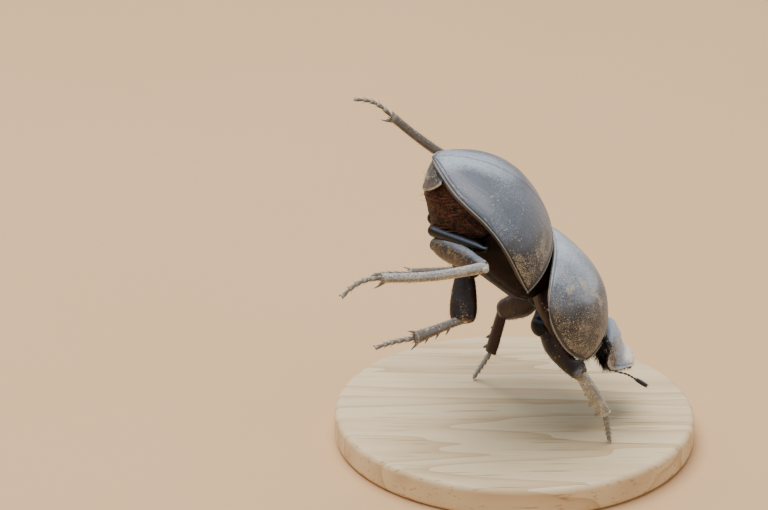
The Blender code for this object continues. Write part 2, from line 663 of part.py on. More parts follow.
def main():
    """Clear the scene and build the beetle on its base."""
    finishes = {
        "case": material("Blue-grey cuticle", (0.10, 0.11, 0.13), 0.42),
        "belly": material("Dark red-brown cuticle", (0.045, 0.02, 0.014), 0.4),
        "glossy": material("Glossy black cuticle", (0.012, 0.011, 0.011), 0.15),
        "leg": material("Brown leg cuticle", (0.06, 0.04, 0.03), 0.35),
        "dusty": material("Dusty leg cuticle", (0.26, 0.22, 0.16), 0.7),
        "eye": material("Eye", (0.01, 0.008, 0.007), 0.2),
        "base": material("Limed wood", (0.62, 0.53, 0.40), 0.6),
    }
    build_base(finishes["base"])
    lift = Vector((0.0, 0.0, BASE_THICKNESS + FOOT_LIFT))
    hind = frame("hind_body", HIND_ORIGIN + lift, HIND_PITCH)
    fore = frame("fore_body", FORE_ORIGIN + lift, FORE_PITCH)
    head = frame("head_frame", HEAD_ORIGIN + lift, HEAD_PITCH)

    for side in (-1, 1):
        build_wing_case(side, hind, finishes["case"])
    build_hind_body(hind, fore, finishes)
    build_fore_body(fore, finishes)
    build_head(head, finishes)

    stations = [x * MM for x in (-1.2, 0.4, 2.0, 4.0, 6.4, 9.0, 11.5, 14.0, 17.0)]
    cutters = [
        body_room("hind_room", [belly_ring(x, CORE_INSET, GAP) for x in stations], hind, finishes["belly"]),
        body_room("fore_room", [
            prothorax_ring(FORE_REAR + x * MM, scale, GAP)
            for x, scale in [(-0.3, 0.72), *BREAST_SCALES, (10.8, 0.97)]
        ], fore, finishes["belly"]),
        body_room("pronotum_room", [
            pronotum_room_ring(x * MM) for x in (4.0, 7.0, 10.0, 12.5, 14.4)
        ], fore, finishes["case"]),
    ]
    for leg in LEGS:
        build_leg(leg, finishes, cutters)

    build_feeler("antenna_right", [
        (10.8, -3.0, 7.6), (11.9, -3.9, 6.9), (13.1, -4.9, 7.5), (14.0, -5.05, 7.25), (14.9, -5.0, 6.65),
        (15.8, -4.8, 5.9), (16.7, -4.6, 5.3),
    ], finishes["leg"])
    build_feeler("antenna_left", [
        (10.8, 3.0, 7.6), (11.4, 3.6, 7.1), (11.9, 4.1, 6.6), (12.3, 4.4, 6.1), (12.6, 4.5, 5.6),
        (12.8, 4.4, 5.0), (12.9, 4.2, 4.4),
    ], finishes["leg"])


for leftover in list(bpy.data.objects):
    bpy.data.objects.remove(leftover, do_unlink=True)
COLLECTION = bpy.data.collections.new("Dung beetle")
HELPERS = bpy.data.collections.new("Cutters")
bpy.context.scene.collection.children.link(COLLECTION)
bpy.context.scene.collection.children.link(HELPERS)
main()
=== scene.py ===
"""Looks of a life-size dung beetle on its oval base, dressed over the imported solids.

The frame's origin is the middle of the base's underside, +X the way the head points, +Y the beetle's left and
+Z up.  Shapes are worked out in millimetres, in the directions of the division of the body that they belong
to, and each finished piece lies in its mesh in metres.
"""

import logging
from dataclasses import dataclass, field
from enum import Enum
from math import atan2, cos, exp, pi, radians, sin, sqrt
from random import Random
from typing import Callable

import bmesh
import bpy
import numpy as np
from mathutils import Matrix, Vector, noise


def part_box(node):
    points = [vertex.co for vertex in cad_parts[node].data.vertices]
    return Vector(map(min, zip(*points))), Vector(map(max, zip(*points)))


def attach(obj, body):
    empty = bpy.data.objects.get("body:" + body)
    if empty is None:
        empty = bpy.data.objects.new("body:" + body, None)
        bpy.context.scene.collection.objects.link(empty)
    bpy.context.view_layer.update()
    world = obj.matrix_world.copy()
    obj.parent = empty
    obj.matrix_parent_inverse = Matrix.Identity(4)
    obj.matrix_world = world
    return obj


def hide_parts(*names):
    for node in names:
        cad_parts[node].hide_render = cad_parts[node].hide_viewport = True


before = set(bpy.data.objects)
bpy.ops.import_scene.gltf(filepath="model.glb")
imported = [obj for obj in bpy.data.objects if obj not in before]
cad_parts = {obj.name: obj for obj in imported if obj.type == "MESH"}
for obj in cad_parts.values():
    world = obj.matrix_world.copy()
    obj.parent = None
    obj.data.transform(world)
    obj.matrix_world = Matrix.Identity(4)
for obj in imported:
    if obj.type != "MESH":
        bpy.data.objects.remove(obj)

MM = 0.001
WELD = 0.0004  # rims of a sheet that lie this close are joined, mm
CREASE = 55.0  # edges sharper than this stay sharp, degrees
UP = Vector((0.0, 0.0, 1.0))
LOG = logging.getLogger("dung_beetle")

Double = tuple[float, float]
Triple = tuple[float, float, float]
Triples = tuple[Triple, ...]
Stations = tuple[Double, ...]
Material = bpy.types.Material
Place = Callable[[float, float], Vector]
Coat = tuple[float, float, float, float]  # painted sky reflection, dust, pale edge and reddish tint, of which 0 is none


class Slot(Enum):
    """Material slots of the record."""

    CASE = "case"
    BELLY = "belly"
    GLOSSY = "glossy"
    LEG = "leg"
    DUSTY = "dusty"
    EYE = "eye"
    BASE = "base"


class Side(Enum):
    """Sides of the body, with the sign of Y."""

    RIGHT = -1
    LEFT = 1


# --- Shared measures ---


def through(stations: Stations, x: float) -> float:
    """Smooth curve through stations.

    Args:
        stations: Pairs of place and height, in rising order of place.
        x: Place to read.

    Returns:
        The height at x, held level beyond both ends.
    """
    last = len(stations) - 1
    x = min(max(x, stations[0][0]), stations[last][0])
    i = max(k for k in range(last) if stations[k][0] <= x)
    low, high = stations[max(i - 1, 0)], stations[min(i + 2, last)]
    (x0, y0), (x1, y1) = stations[i], stations[i + 1]
    span = x1 - x0
    lean0 = (y1 - low[1]) / (x1 - low[0])
    lean1 = (high[1] - y0) / (high[0] - x0)
    t = (x - x0) / span
    rise = (1 + 2 * t) * (1 - t) ** 2 * y0 + t * t * (3 - 2 * t) * y1
    return rise + span * (t * (1 - t) ** 2 * lean0 - t * t * (1 - t) * lean1)


def ease(low: float, high: float, x: float) -> float:
    """Smooth step at x, from 0 at low to 1 at high."""
    t = min(max((x - low) / (high - low), 0.0), 1.0)
    return t * t * (3 - 2 * t)


def ripple(x: float, centre: float, width: float) -> float:
    """Rounded hump at x, 1 at its centre and falling to 0 beyond its half width."""
    return exp(-(((x - centre) / width) ** 2))


def cloud(place: Vector, size: float, seed: float = 0.0) -> float:
    """Soft noise round 0, with patches of a size in millimetres and another pattern for each seed."""
    return noise.noise(place / size + Vector((seed, seed * 0.7, seed * 1.3)))


def round_axis(wide: Vector, thin: Vector, turn: float) -> Vector:
    """Direction at an angle from wide towards thin."""
    return wide * cos(turn) + thin * sin(turn)


@dataclass(frozen=True)
class Pose:
    """Place and pitch of one division of the body, in millimetres and degrees."""

    origin: Triple
    pitch: float = 0.0

    def matrix(self) -> Matrix:
        """Transform from the division's millimetres to the frame's metres."""
        turn = Matrix.Rotation(radians(self.pitch), 4, "Y")
        return Matrix.Translation(Vector(self.origin) * MM) @ turn @ Matrix.Scale(MM, 4)


FOOT_LIFT = 0.3
STAND_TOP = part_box("stand_base")[1].z / MM + FOOT_LIFT
UPRIGHT = Pose((0.0, 0.0, STAND_TOP))
HIND = Pose((-9.9, 0.0, 32.0 + STAND_TOP), 45.5)
FORE = Pose((4.74, 0.0, 23.81 + STAND_TOP), 61.5)
HEAD = Pose((11.5, 0.0, 12.9 + STAND_TOP), 59.5)


# --- Finishes ---

TIMES, PLUS = {"operation": "MULTIPLY"}, {"operation": "MULTIPLY_ADD"}  # of a Math node
COLOURS = {"data_type": "RGBA"}  # makes a Mix node blend colours
FIRST, SECOND, BLENDED = 6, 7, 2  # its colour inputs and its colour output


def tone(code: str) -> tuple[float, float, float, float]:
    """Linear red, green, blue and an alpha of 1 for an sRGB colour such as "#8a7a60"."""
    parts = [int(code[k:k + 2], 16) / 255 for k in (1, 3, 5)]
    return (*(c / 12.92 if c <= 0.04045 else ((c + 0.055) / 1.055) ** 2.4 for c in parts), 1.0)


class Mixer:
    """Builds one material's node tree."""

    def __init__(self, name: str) -> None:
        """Start an empty material.

        Args:
            name: Name of the material.
        """
        self.material = bpy.data.materials.new(name)
        self.material.use_nodes = True
        self.tree = self.material.node_tree
        self.tree.nodes.clear()

    def add(self, kind: str, inputs: dict | tuple = (), **settings: object) -> bpy.types.bpy_prop_collection:
        """Add a node.

        Args:
            kind: Node type without the ShaderNode prefix.
            inputs: Values or output sockets, by input name or number, or in order from the first input.
            settings: Properties to set on the node first.

        Returns:
            The node's outputs.
        """
        made = self.tree.nodes.new("ShaderNode" + kind)
        for name, value in settings.items():
            setattr(made, name, value)
        for key, value in inputs.items() if isinstance(inputs, dict) else enumerate(inputs):
            if isinstance(value, bpy.types.NodeSocket):
                self.tree.links.new(value, made.inputs[key])
            else:
                made.inputs[key].default_value = value
        return made.outputs

    def finish(self, surface: bpy.types.NodeSocket) -> Material:
        """Join the surface to the output and return the material."""
        self.add("OutputMaterial", (surface,))
        return self.material


@dataclass(frozen=True)
class Cuticle:
    """Insect cuticle: a dark shell with a painted blue-grey sky reflection and a painted highlight where it
    runs high, with dust caught on it and pale worn edges.
    """

    name: str
    dark: str  # bare cuticle
    sky_reflection: str  # painted blue-grey reflection of the sky
    crest: str  # painted highlight where the painted sky reflection runs high
    dust: str  # dry soil
    edge: str  # worn or dust-filled borders
    warm: str  # thin cuticle that light reddens
    roughness: float = 0.42
    dusty: float = 1.0  # how much of the painted dust shows
    drift: float = 5.5  # size of the broad changes of the painted sky reflection and the roughness, mm
    patch: float = 1.6  # size of the dust patches, mm
    grain: float = 0.26  # size of the dust grains, mm
    pit: float = 0.32  # spacing of the punctures, mm
    pit_depth: float = 0.006  # depth of the punctures, mm
    sheen: float = 0.3  # soft glow of fine dust at grazing angles
    gloss: float = 0.5  # strength of the surface reflection

    def material(self) -> Material:
        """Build the material.

        Returns:
            The node material, which reads the painted attribute Coat.
        """
        mix = Mixer(self.name)
        place = mix.add("TexCoord")["Object"]
        coat = mix.add("Attribute", attribute_name="Coat")
        painted_sky_reflection, painted_dust, painted_edge = mix.add("SeparateColor", (coat["Color"],))[:3]
        noises = ((self.patch, 5.0, 0.62), (self.grain, 2.0, 0.7), (self.drift, 3.0, 0.55))
        patches, grains, drift = (mix.add("TexNoise", {
            "Vector": place, "Scale": 1 / (size * MM), "Detail": detail, "Roughness": rough,
        })[0] for size, detail, rough in noises)
        nets = ((self.grain, 1.0), (self.grain / 1.6, 1.0), (self.pit, 0.85))
        cells, powder, pits = (mix.add("TexVoronoi", {
            "Vector": place, "Scale": 1 / (size * MM), "Randomness": disorder,
        }) for size, disorder in nets)

        # Painted sky reflection: it varies softly and is thinner in places, and turns into a painted
        # highlight where it runs high.
        broad = mix.add("MapRange", (drift, 0.25, 0.75, 0.75, 1.0))[0]
        close = mix.add("MapRange", (grains, 0.3, 0.6, 0.7, 1.0))[0]
        reflection_variation = mix.add("Math", (broad, close), **TIMES)[0]
        sky_reflection_share = mix.add("Math", (painted_sky_reflection, reflection_variation), **TIMES)[0]
        colour = tone(self.dark)
        for share, over in (
            (mix.add("MapRange", (sky_reflection_share, 0.0, 0.8))[0], self.sky_reflection),
            (mix.add("MapRange", (sky_reflection_share, 0.55, 1.25))[0], self.crest),
            (coat["Alpha"], self.warm),
        ):
            colour = mix.add("Mix", {0: share, FIRST: colour, SECOND: tone(over)}, **COLOURS)[BLENDED]

        # Dust: clots where the patches run high, round grains that thin out with the paint, and fine powder.
        amount = mix.add("Math", (painted_dust, self.dusty), **TIMES)[0]
        clot_start = mix.add("Math", (amount, -0.26, 0.73), **PLUS)[0]
        clot_level = mix.add("Math", (patches, clot_start), operation="SUBTRACT")[0]
        clots = mix.add("MapRange", (clot_level, 0.0, 0.1))[0]
        chance = mix.add("SeparateColor", (cells["Color"],))
        spread = mix.add("Math", (amount, 0.42), **TIMES)[0]
        density = mix.add("Math", (clots, 0.6, spread), **PLUS)[0]
        drawn = mix.add("Math", (chance[0], density), operation="ADD")[0]
        chosen = mix.add("MapRange", (drawn, 1.0, 1.04))[0]
        radius = mix.add("Math", (chance[1], 0.3, 0.22), **PLUS)[0]
        inside = mix.add("Math", (radius, cells["Distance"]), operation="SUBTRACT")[0]
        dots = mix.add("MapRange", (inside, 0.0, 0.1))[0]
        reach = mix.add("Math", (amount, 0.4), **TIMES)[0]
        near = mix.add("Math", (reach, powder["Distance"]), operation="SUBTRACT")[0]
        dust = mix.add("Math", (dots, chosen), **TIMES)[0]
        for layer, strength in ((clots, 0.3), (mix.add("MapRange", (near, 0.0, 0.07))[0], 0.8)):
            thin = mix.add("Math", (layer, strength), **TIMES)[0]
            dust = mix.add("Math", (dust, thin), operation="MAXIMUM")[0]

        # Edges: pale, broken by the grains.
        broken = mix.add("MapRange", (grains, 0.22, 0.55))[0]
        worn = mix.add("Math", (painted_edge, broken), **TIMES)[0]
        light = mix.add("MapRange", (grains, 0.35, 0.7))[0]
        soil = mix.add("Mix", {0: light, FIRST: tone(self.dust), SECOND: tone(self.edge)}, **COLOURS)[BLENDED]
        cover = mix.add("Math", (dust, 0.85), **TIMES)[0]
        for share, over in ((cover, soil), (worn, tone(self.edge))):
            colour = mix.add("Mix", {0: share, FIRST: colour, SECOND: over}, **COLOURS)[BLENDED]

        # Gloss: dust and worn edges are matt, and the broad noise changes it a little.
        matt = mix.add("Math", (dust, worn), operation="MAXIMUM")[0]
        roughness = mix.add("MapRange", (drift, 0.3, 0.7, self.roughness, self.roughness + 0.08))[0]
        roughness = mix.add("Math", (matt, 0.9 - self.roughness, roughness), **PLUS)[0]

        # Relief: the dust that stands on it, a fine leathery grain and punctures.
        height = 0.0
        for layer, tall in (
            (dust, 0.018), (grains, 0.004), (mix.add("MapRange", (pits[0], 0.05, 0.34))[0], self.pit_depth),
        ):
            height = mix.add("Math", (layer, tall * MM, height), **PLUS)[0]
        relief = mix.add("Bump", {"Height": height, "Distance": 1.0, "Strength": 1.0})[0]
        return mix.finish(mix.add("BsdfPrincipled", {
            "Base Color": colour, "Roughness": roughness, "Normal": relief, "Sheen Weight": self.sheen,
            "Sheen Roughness": 0.45, "IOR": 1.52, "Specular IOR Level": self.gloss,
        })[0])


@dataclass(frozen=True)
class Bristle:
    """Stiff insect hair: brown, a little glossy, lighter towards its tip."""

    name: str
    root: str
    tip: str

    def material(self) -> Material:
        """Build the material.

        Returns:
            The node material, which reads the attribute Tip.
        """
        mix = Mixer(self.name)
        share = mix.add("Attribute", attribute_name="Tip")["Fac"]
        ends = {0: share, FIRST: tone(self.root), SECOND: tone(self.tip)}
        colour = mix.add("Mix", ends, **COLOURS)[BLENDED]
        return mix.finish(mix.add("BsdfPrincipled", {
            "Base Color": colour, "Roughness": 0.5, "IOR": 1.54, "Specular IOR Level": 0.3,
        })[0])


@dataclass(frozen=True)
class Lens:
    """Compound eye: black and glossy over a fine net of facets."""

    name: str
    colour: str
    seam: str  # between the facets
    facet: float = 0.07  # spacing of the facets, mm

    def material(self) -> Material:
        """Build the material.

        Returns:
            The node material.
        """
        mix = Mixer(self.name)
        place = mix.add("TexCoord")["Object"]
        cells = mix.add("TexVoronoi", {
            "Vector": place, "Scale": 1 / (self.facet * MM), "Randomness": 0.25,
        })[0]
        share = mix.add("MapRange", (cells, 0.2, 0.8))[0]
        net = {0: share, FIRST: tone(self.colour), SECOND: tone(self.seam)}
        shade = mix.add("Mix", net, **COLOURS)[BLENDED]
        dome = mix.add("Math", (cells, -0.012 * MM), **TIMES)[0]
        relief = mix.add("Bump", {"Height": dome, "Distance": 1.0})[0]
        return mix.finish(mix.add("BsdfPrincipled", {
            "Base Color": shade, "Roughness": 0.12, "Normal": relief, "Coat Weight": 0.6,
            "Coat Roughness": 0.04,
        })[0])


@dataclass(frozen=True)
class LimedWood:
    """Limed ash: pale lengthwise grain with open pores, under a thin matt varnish."""

    name: str
    pale: str
    deep: str
    pore: str

    def material(self) -> Material:
        """Build the material.

        Returns:
            The node material, with its grain along X.
        """
        mix = Mixer(self.name)
        place = mix.add("TexCoord")["Object"]
        drawn = mix.add("Mapping", {"Vector": place, "Scale": (0.09, 1.0, 0.6)})[0]
        warp = mix.add("TexNoise", {"Vector": drawn, "Scale": 1 / (9 * MM), "Detail": 2.0})[0]
        wave = mix.add("Math", (warp, 9.0), **TIMES)[0]
        saw = mix.add("Math", (wave,), operation="FRACT")[0]
        ring = mix.add("Math", (saw, 2.5), operation="POWER")[0]
        fine = mix.add("Mapping", {"Vector": place, "Scale": (0.035, 1.0, 0.8)})[0]
        pores = mix.add("TexNoise", {"Vector": fine, "Scale": 1 / (0.35 * MM), "Detail": 3.0})[0]
        open_pores = mix.add("MapRange", (pores, 0.60, 0.70))[0]
        colour = tone(self.pale)
        for mark, strength, over in ((ring, 0.75, self.deep), (open_pores, 0.55, self.pore)):
            share = mix.add("Math", (mark, strength), **TIMES)[0]
            colour = mix.add("Mix", {0: share, FIRST: colour, SECOND: tone(over)}, **COLOURS)[BLENDED]
        height = mix.add("Math", (open_pores, -0.03 * MM), **TIMES)[0]
        relief = mix.add("Bump", {"Height": height, "Distance": 1.0})[0]
        roughness = mix.add("Math", (ring, 0.12, 0.46), **PLUS)[0]
        return mix.finish(mix.add("BsdfPrincipled", {
            "Base Color": colour, "Roughness": roughness, "Normal": relief,
        })[0])


@dataclass(frozen=True)
class Plain:
    """Even matt finish with a barely visible mottle."""

    name: str
    colour: str
    shade: str
    roughness: float = 0.9
    size: float = 60.0  # size of the mottle, mm

    def material(self) -> Material:
        """Build the material.

        Returns:
            The node material.
        """
        mix = Mixer(self.name)
        place = mix.add("TexCoord")["Object"]
        mottle = mix.add("TexNoise", {"Vector": place, "Scale": 1 / (self.size * MM), "Detail": 3.0})[0]
        mixed = {0: mottle, FIRST: tone(self.colour), SECOND: tone(self.shade)}
        colour = mix.add("Mix", mixed, **COLOURS)[BLENDED]
        return mix.finish(mix.add("BsdfPrincipled", {"Base Color": colour, "Roughness": self.roughness})[0])


# --- Meshes ---


@dataclass(frozen=True)
class Spot:
    """One point of a surface, as a relief or a painter is told of it."""

    place: Vector  # in the division's millimetres
    normal: Vector  # in the frame's directions for a painter, in the division's for a relief
    u: float
    v: float
    kind: float  # which sub-shape of the piece it belongs to


class Part(Enum):
    """Sub-shapes of a piece that its painter tells apart."""

    BODY = 0.0
    SPINE = 1.0
    KNOB = 2.0
    LEAF = 3.0


Relief = Callable[[Spot], float]
Painter = Callable[[Spot], Coat]


class Draft:
    """Piece under work, in the millimetres of one division of the body."""

    def __init__(self) -> None:
        """Start with an empty bmesh that remembers where each vertex lies on its sheet."""
        self.bm = bmesh.new()
        self.u = self.bm.verts.layers.float.new("u")
        self.v = self.bm.verts.layers.float.new("v")
        self.kind = self.bm.verts.layers.float.new("kind")

    def sheet(self, columns: int, rows: int, place: Place, relief: Relief | None = None,
              kind: Part = Part.BODY, wall: float = 0.0) -> None:
        """Add a sheet, which closes wherever its place function brings its rims together.

        Args:
            columns: Faces along u.
            rows: Faces along v.
            place: Point at (u, v), both from 0 to 1.
            relief: Height over the sheet at a spot.
            kind: Its sub-shape, for the painter.
            wall: Thickness given to an open sheet, inwards.
        """
        grid = bmesh.ops.create_grid(self.bm, x_segments=columns, y_segments=rows, size=0.5)
        for vert in grid["verts"]:
            vert[self.u], vert[self.v], vert[self.kind] = vert.co.x + 0.5, vert.co.y + 0.5, kind.value
            vert.co = place(vert[self.u], vert[self.v])
        merged = bmesh.ops.find_doubles(self.bm, verts=grid["verts"], dist=WELD)["targetmap"]
        verts = [vert for vert in grid["verts"] if vert not in merged]
        bmesh.ops.weld_verts(self.bm, targetmap=merged)
        faces = list(dict.fromkeys(face for vert in verts for face in vert.link_faces))
        bmesh.ops.recalc_face_normals(self.bm, faces=faces)
        if relief:
            self.raise_relief(verts, relief)
        if wall:
            bmesh.ops.solidify(self.bm, geom=faces, thickness=wall)

    def spot(self, vert: bmesh.types.BMVert, turn: Matrix) -> Spot:
        """What a relief or a painter is told of a vertex, with its normal turned."""
        return Spot(vert.co, turn @ vert.normal, vert[self.u], vert[self.v], vert[self.kind])

    def raise_relief(self, verts: list[bmesh.types.BMVert], relief: Relief) -> None:
        """Move vertices along their normals.

        Args:
            verts: Vertices to move.
            relief: Height at a spot.
        """
        for vert in verts:
            vert.normal_update()
        heights = [relief(self.spot(vert, Matrix.Identity(3))) for vert in verts]
        for vert, height in zip(verts, heights):
            vert.co += vert.normal * height

    def ball(self, centre: Vector, size: Vector, turn: Matrix | None = None, kind: Part = Part.BODY,
             rings: int = 16, relief: Relief | None = None) -> None:
        """Add an ellipsoid.

        Args:
            centre: Its middle.
            size: Its half sizes.
            turn: Its rotation.
            kind: Its sub-shape, for the painter.
            rings: Faces from pole to pole.
            relief: Height over it at a spot.
        """
        spin = Matrix.Identity(3) if turn is None else turn

        def place(u: float, v: float) -> Vector:
            """Point of the ellipsoid."""
            unit = Vector((cos(2 * pi * u) * sin(pi * v), sin(2 * pi * u) * sin(pi * v), -cos(pi * v)))
            return centre + spin @ Vector(unit[k] * size[k] for k in range(3))

        self.sheet(2 * rings, rings, place, relief, kind)

    def spike(self, root: Vector, tip: Vector, radius: float, bend: Vector = Vector(),
              sides: int = 10) -> None:
        """Add a tapered, bent spine with a blunt tip.

        Args:
            root: Middle of its foot.
            tip: Its point.
            radius: Radius at the foot.
            bend: How far its middle stands off the straight line.
            sides: Faces round it.
        """
        along = (tip - root).normalized()
        wide = along.orthogonal().normalized()
        thin = along.cross(wide)

        def place(u: float, v: float) -> Vector:
            """Point of the spine."""
            size = radius * (1 - v) ** 0.55 * (1 - 0.35 * v) * min(1.0, v / 0.02)
            return root.lerp(tip, v) + bend * 4 * v * (1 - v) + round_axis(wide, thin, 2 * pi * u) * size

        self.sheet(sides, 9, place, kind=Part.SPINE)

    def cut(self, point: Vector, normal: Vector) -> None:
        """Take away all that lies in front of a plane and close the cut.

        Args:
            point: Point of the plane.
            normal: Direction that is taken away.
        """
        whole = self.bm.verts[:] + self.bm.edges[:] + self.bm.faces[:]
        made = bmesh.ops.bisect_plane(self.bm, geom=whole, dist=1e-5, plane_co=point, plane_no=normal,
                                      clear_outer=True)
        rim = [edge for edge in made["geom_cut"] if isinstance(edge, bmesh.types.BMEdge)]
        bmesh.ops.edgeloop_fill(self.bm, edges=rim)

    def piece(self, name: str, pose: Pose, slot: Slot, finish: Material, nodes: tuple[str, ...],
              paint: Painter | None = None) -> None:
        """Turn the draft into a finished piece at the origin, with its place in its mesh.

        Args:
            name: Name of the piece.
            pose: Pose of the division that it was drafted in.
            slot: Material slot of the record.
            finish: Its material.
            nodes: Solids that it replaces.
            paint: Painter of the Coat attribute. What it gives below 0 counts as 0.
        """
        place = pose.matrix()
        turn = place.to_3x3().normalized()
        self.bm.normal_update()
        coats = []
        if paint:
            for vert in self.bm.verts:
                coats.extend(max(share, 0.0) for share in paint(self.spot(vert, turn)))
        notes = self.bm.verts.layers.float
        while len(notes):
            notes.remove(notes[-1])
        self.bm.transform(place)
        mesh = bpy.data.meshes.new(name)
        self.bm.to_mesh(mesh)
        self.bm.free()
        if paint:
            mesh.color_attributes.new("Coat", "FLOAT_COLOR", "POINT").data.foreach_set("color", coats)
        register(name, mesh, slot, finish, nodes)


def register(name: str, mesh: bpy.types.Mesh, slot: Slot, finish: Material,
             nodes: tuple[str, ...]) -> None:
    """Link a finished mesh into the scene and into the frame.

    Args:
        name: Name of the piece.
        mesh: Its mesh, in metres.
        slot: Material slot of the record; not used.
        finish: Its material.
        nodes: Solids that it replaces.
    """
    mesh.materials.append(finish)
    mesh.shade_smooth()
    mesh.set_sharp_from_angle(angle=radians(CREASE))
    made = bpy.data.objects.new(name, mesh)
    bpy.context.scene.collection.objects.link(made)
    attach(made, "root")
    if nodes:
        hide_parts(*nodes)
    LOG.info("%s: %d faces", name, len(mesh.polygons))


# --- Hairs ---


@dataclass(frozen=True)
class Hair:
    """One bristle: its root, its way, its length and the spot of its root on the skin's unwrap."""

    root: Vector
    way: Vector
    length: float
    radius: float
    spot: Double


@dataclass
class Fringe:
    """Bristles of one region, joined in one mesh."""

    name: str
    pose: Pose
    seed: int
    curl: float = 0.22
    hairs: list[Hair] = field(default_factory=list)

    def __post_init__(self) -> None:
        """Start the region's own row of random numbers."""
        self.random = Random(self.seed)

    def grow(self, root: Vector, way: Vector, length: float, radius: float, spot: Double,
             stray: float = 0.25) -> None:
        """Add a bristle with a little disorder.

        Args:
            root: Its root.
            way: Its main direction.
            length: Its mean length.
            radius: Its radius at the root.
            spot: Place of the root on the unwrap, both from 0 to 1.
            stray: How far it may lean off its way.
        """
        pick = self.random
        lean = Vector((pick.uniform(-1, 1), pick.uniform(-1, 1), pick.uniform(-1, 1))) * stray
        reach = length * pick.uniform(0.6, 1.15)
        self.hairs.append(Hair(root, (way.normalized() + lean).normalized(), reach, radius, spot))

    def template(self) -> bpy.types.Mesh:
        """Model one upright bristle.

        Returns:
            Its mesh, straight, of unit length and unit radius.
        """
        bm = bmesh.new()
        bmesh.ops.create_cone(bm, cap_ends=True, segments=4, radius1=1.0, radius2=0.2, depth=1.0,
                              matrix=Matrix.Translation((0, 0, 0.5)))
        for height in (0.35, 0.7):
            bmesh.ops.bisect_plane(bm, geom=bm.verts[:] + bm.edges[:] + bm.faces[:],
                                   plane_co=(0, 0, height), plane_no=(0, 0, 1))
        stamp = bpy.data.meshes.new(self.name + "_stamp")
        bm.to_mesh(stamp)
        bm.free()
        return stamp

    def build(self, slot: Slot, finish: Material) -> None:
        """Join the bristles.

        Args:
            slot: Material slot of the record.
            finish: Material of the bristles.
        """
        stamp = self.template()
        unit = np.array([tuple(vert.co) for vert in stamp.vertices])
        loops = np.array([stamp.vertices[loop.vertex_index].co.xy for loop in stamp.loops])
        joined = bmesh.new()
        for hair in self.hairs:
            roll = Matrix.Rotation(self.random.uniform(-pi, pi), 3, "Z")
            turn = hair.way.to_track_quat("Z", "X").to_matrix() @ roll
            shape = unit * (hair.radius, hair.radius, hair.length)
            shape[:, 0] += self.curl * hair.length * unit[:, 2] ** 2
            points = shape @ np.array(turn).T + np.array(hair.root)
            stamp.vertices.foreach_set("co", points.ravel())
            joined.from_mesh(stamp)
        joined.transform(self.pose.matrix())
        mesh = bpy.data.meshes.new(self.name)
        joined.to_mesh(mesh)
        joined.free()
        bpy.data.meshes.remove(stamp)
        margin, scale = 0.002, 0.0012
        spots = np.array([hair.spot for hair in self.hairs]).clip(margin, 1 - margin)
        patch = (spots[:, None, :] + scale * loops[None, :, :]).reshape(-1)
        mesh.uv_layers.new(name="OFBake").data.foreach_set("uv", patch)
        tips = np.tile(unit[:, 2], len(self.hairs))
        mesh.attributes.new("Tip", "FLOAT", "POINT").data.foreach_set("value", tips)
        register(self.name, mesh, slot, finish, ())


# --- Body ---


def sky(normal: Vector, low: float = -0.15, high: float = 0.95) -> float:
    """How much a surface is turned to the sky, from 0 to 1."""
    return ease(low, high, normal.z)


@dataclass(frozen=True)
class HindForm:
    """Outer form of the hind body, in millimetres from the rear end of the wing cases' lower edge."""

    rear: float = -2.9
    widest: float = 8.3
    front: float = 14.7
    half_width: float = 11.4
    front_taper: float = 20.5
    crest: float = 8.0
    height: float = 7.15
    dome_taper: float = 9.8
    inset: float = 1.3  # how far the body lies inside the wing cases
    edge: Stations = ((-2.9, 1.3), (0.5, 1.6), (2.0, 1.95), (4.5, 2.5), (7.0, 2.5), (9.5, 1.95), (14.6, 0.2),
                      (18.0, -0.6))
    keel: Stations = ((-3.0, -0.9), (-0.8, -2.6), (1.2, -3.65), (3.2, -4.9), (5.3, -5.9), (8.0, -5.8),
                      (14.0, -4.3), (18.5, -3.2))
    power: Stations = ((-3.0, 1.8), (3.0, 1.4), (8.0, 1.5), (13.0, 2.0), (18.5, 2.2))

    def width(self, x: float, inset: float = 0.0) -> float:
        """Half width at x.

        Args:
            x: Place along the body.
            inset: How far inside the form.

        Returns:
            The half width.
        """
        widest = self.half_width - inset
        if x >= self.widest:
            return widest * sqrt(1 - ((x - self.widest) / self.front_taper) ** 2)
        reach = (self.widest - x) / (self.widest - self.rear - inset)
        return widest * max(0.0, 1 - reach ** 1.5) ** 0.66

    def dome(self, x: float, inset: float = 0.0) -> float:
        """Height of the ridge at x.

        Args:
            x: Place along the body.
            inset: How far inside the form.

        Returns:
            The height of the ridge.
        """
        if x >= self.crest:
            reach = (min(x, self.front + 0.6) - self.crest) / (self.dome_taper - inset * 0.4)
            return (self.height - inset) * sqrt(1 - reach ** 2)
        reach = (self.crest - x) / (self.crest - self.rear - inset)
        edge = through(self.edge, x)
        return edge + (self.height - inset - edge) * max(0.0, 1 - reach ** 1.5) ** 0.72

    def shell(self, x: float, angle: float, inset: float = 0.0) -> Vector:
        """Point of the shell.

        Args:
            x: Place along the body.
            angle: Angle from the ridge towards the left edge.
            inset: How far inside the form.

        Returns:
            The point.
        """
        edge = through(self.edge, x)
        rise = max(self.dome(x, inset) - edge, 0.0)
        return Vector((x, self.width(x, inset) * sin(angle), edge + rise * cos(angle)))

    def body(self, x: float, turn: float) -> Vector:
        """Point of the body inside the shell.

        Args:
            x: Place along the body.
            turn: 0 to 0.5 over the back from right to left, 0.5 to 1 back under the belly.

        Returns:
            The point.
        """
        if turn <= 0.5:
            return self.shell(x, pi * (2 * turn - 0.5), self.inset)
        angle = 2 * pi * (turn - 0.5)
        edge = self.shell(x, pi / 2, self.inset)
        power = 2 / through(self.power, x)
        across = abs(cos(angle)) ** power * (1 if cos(angle) > 0 else -1)
        depth = (edge.z - through(self.keel, x)) * max(sin(angle), 0.0) ** power
        return Vector((x, edge.y * across, edge.z - depth))


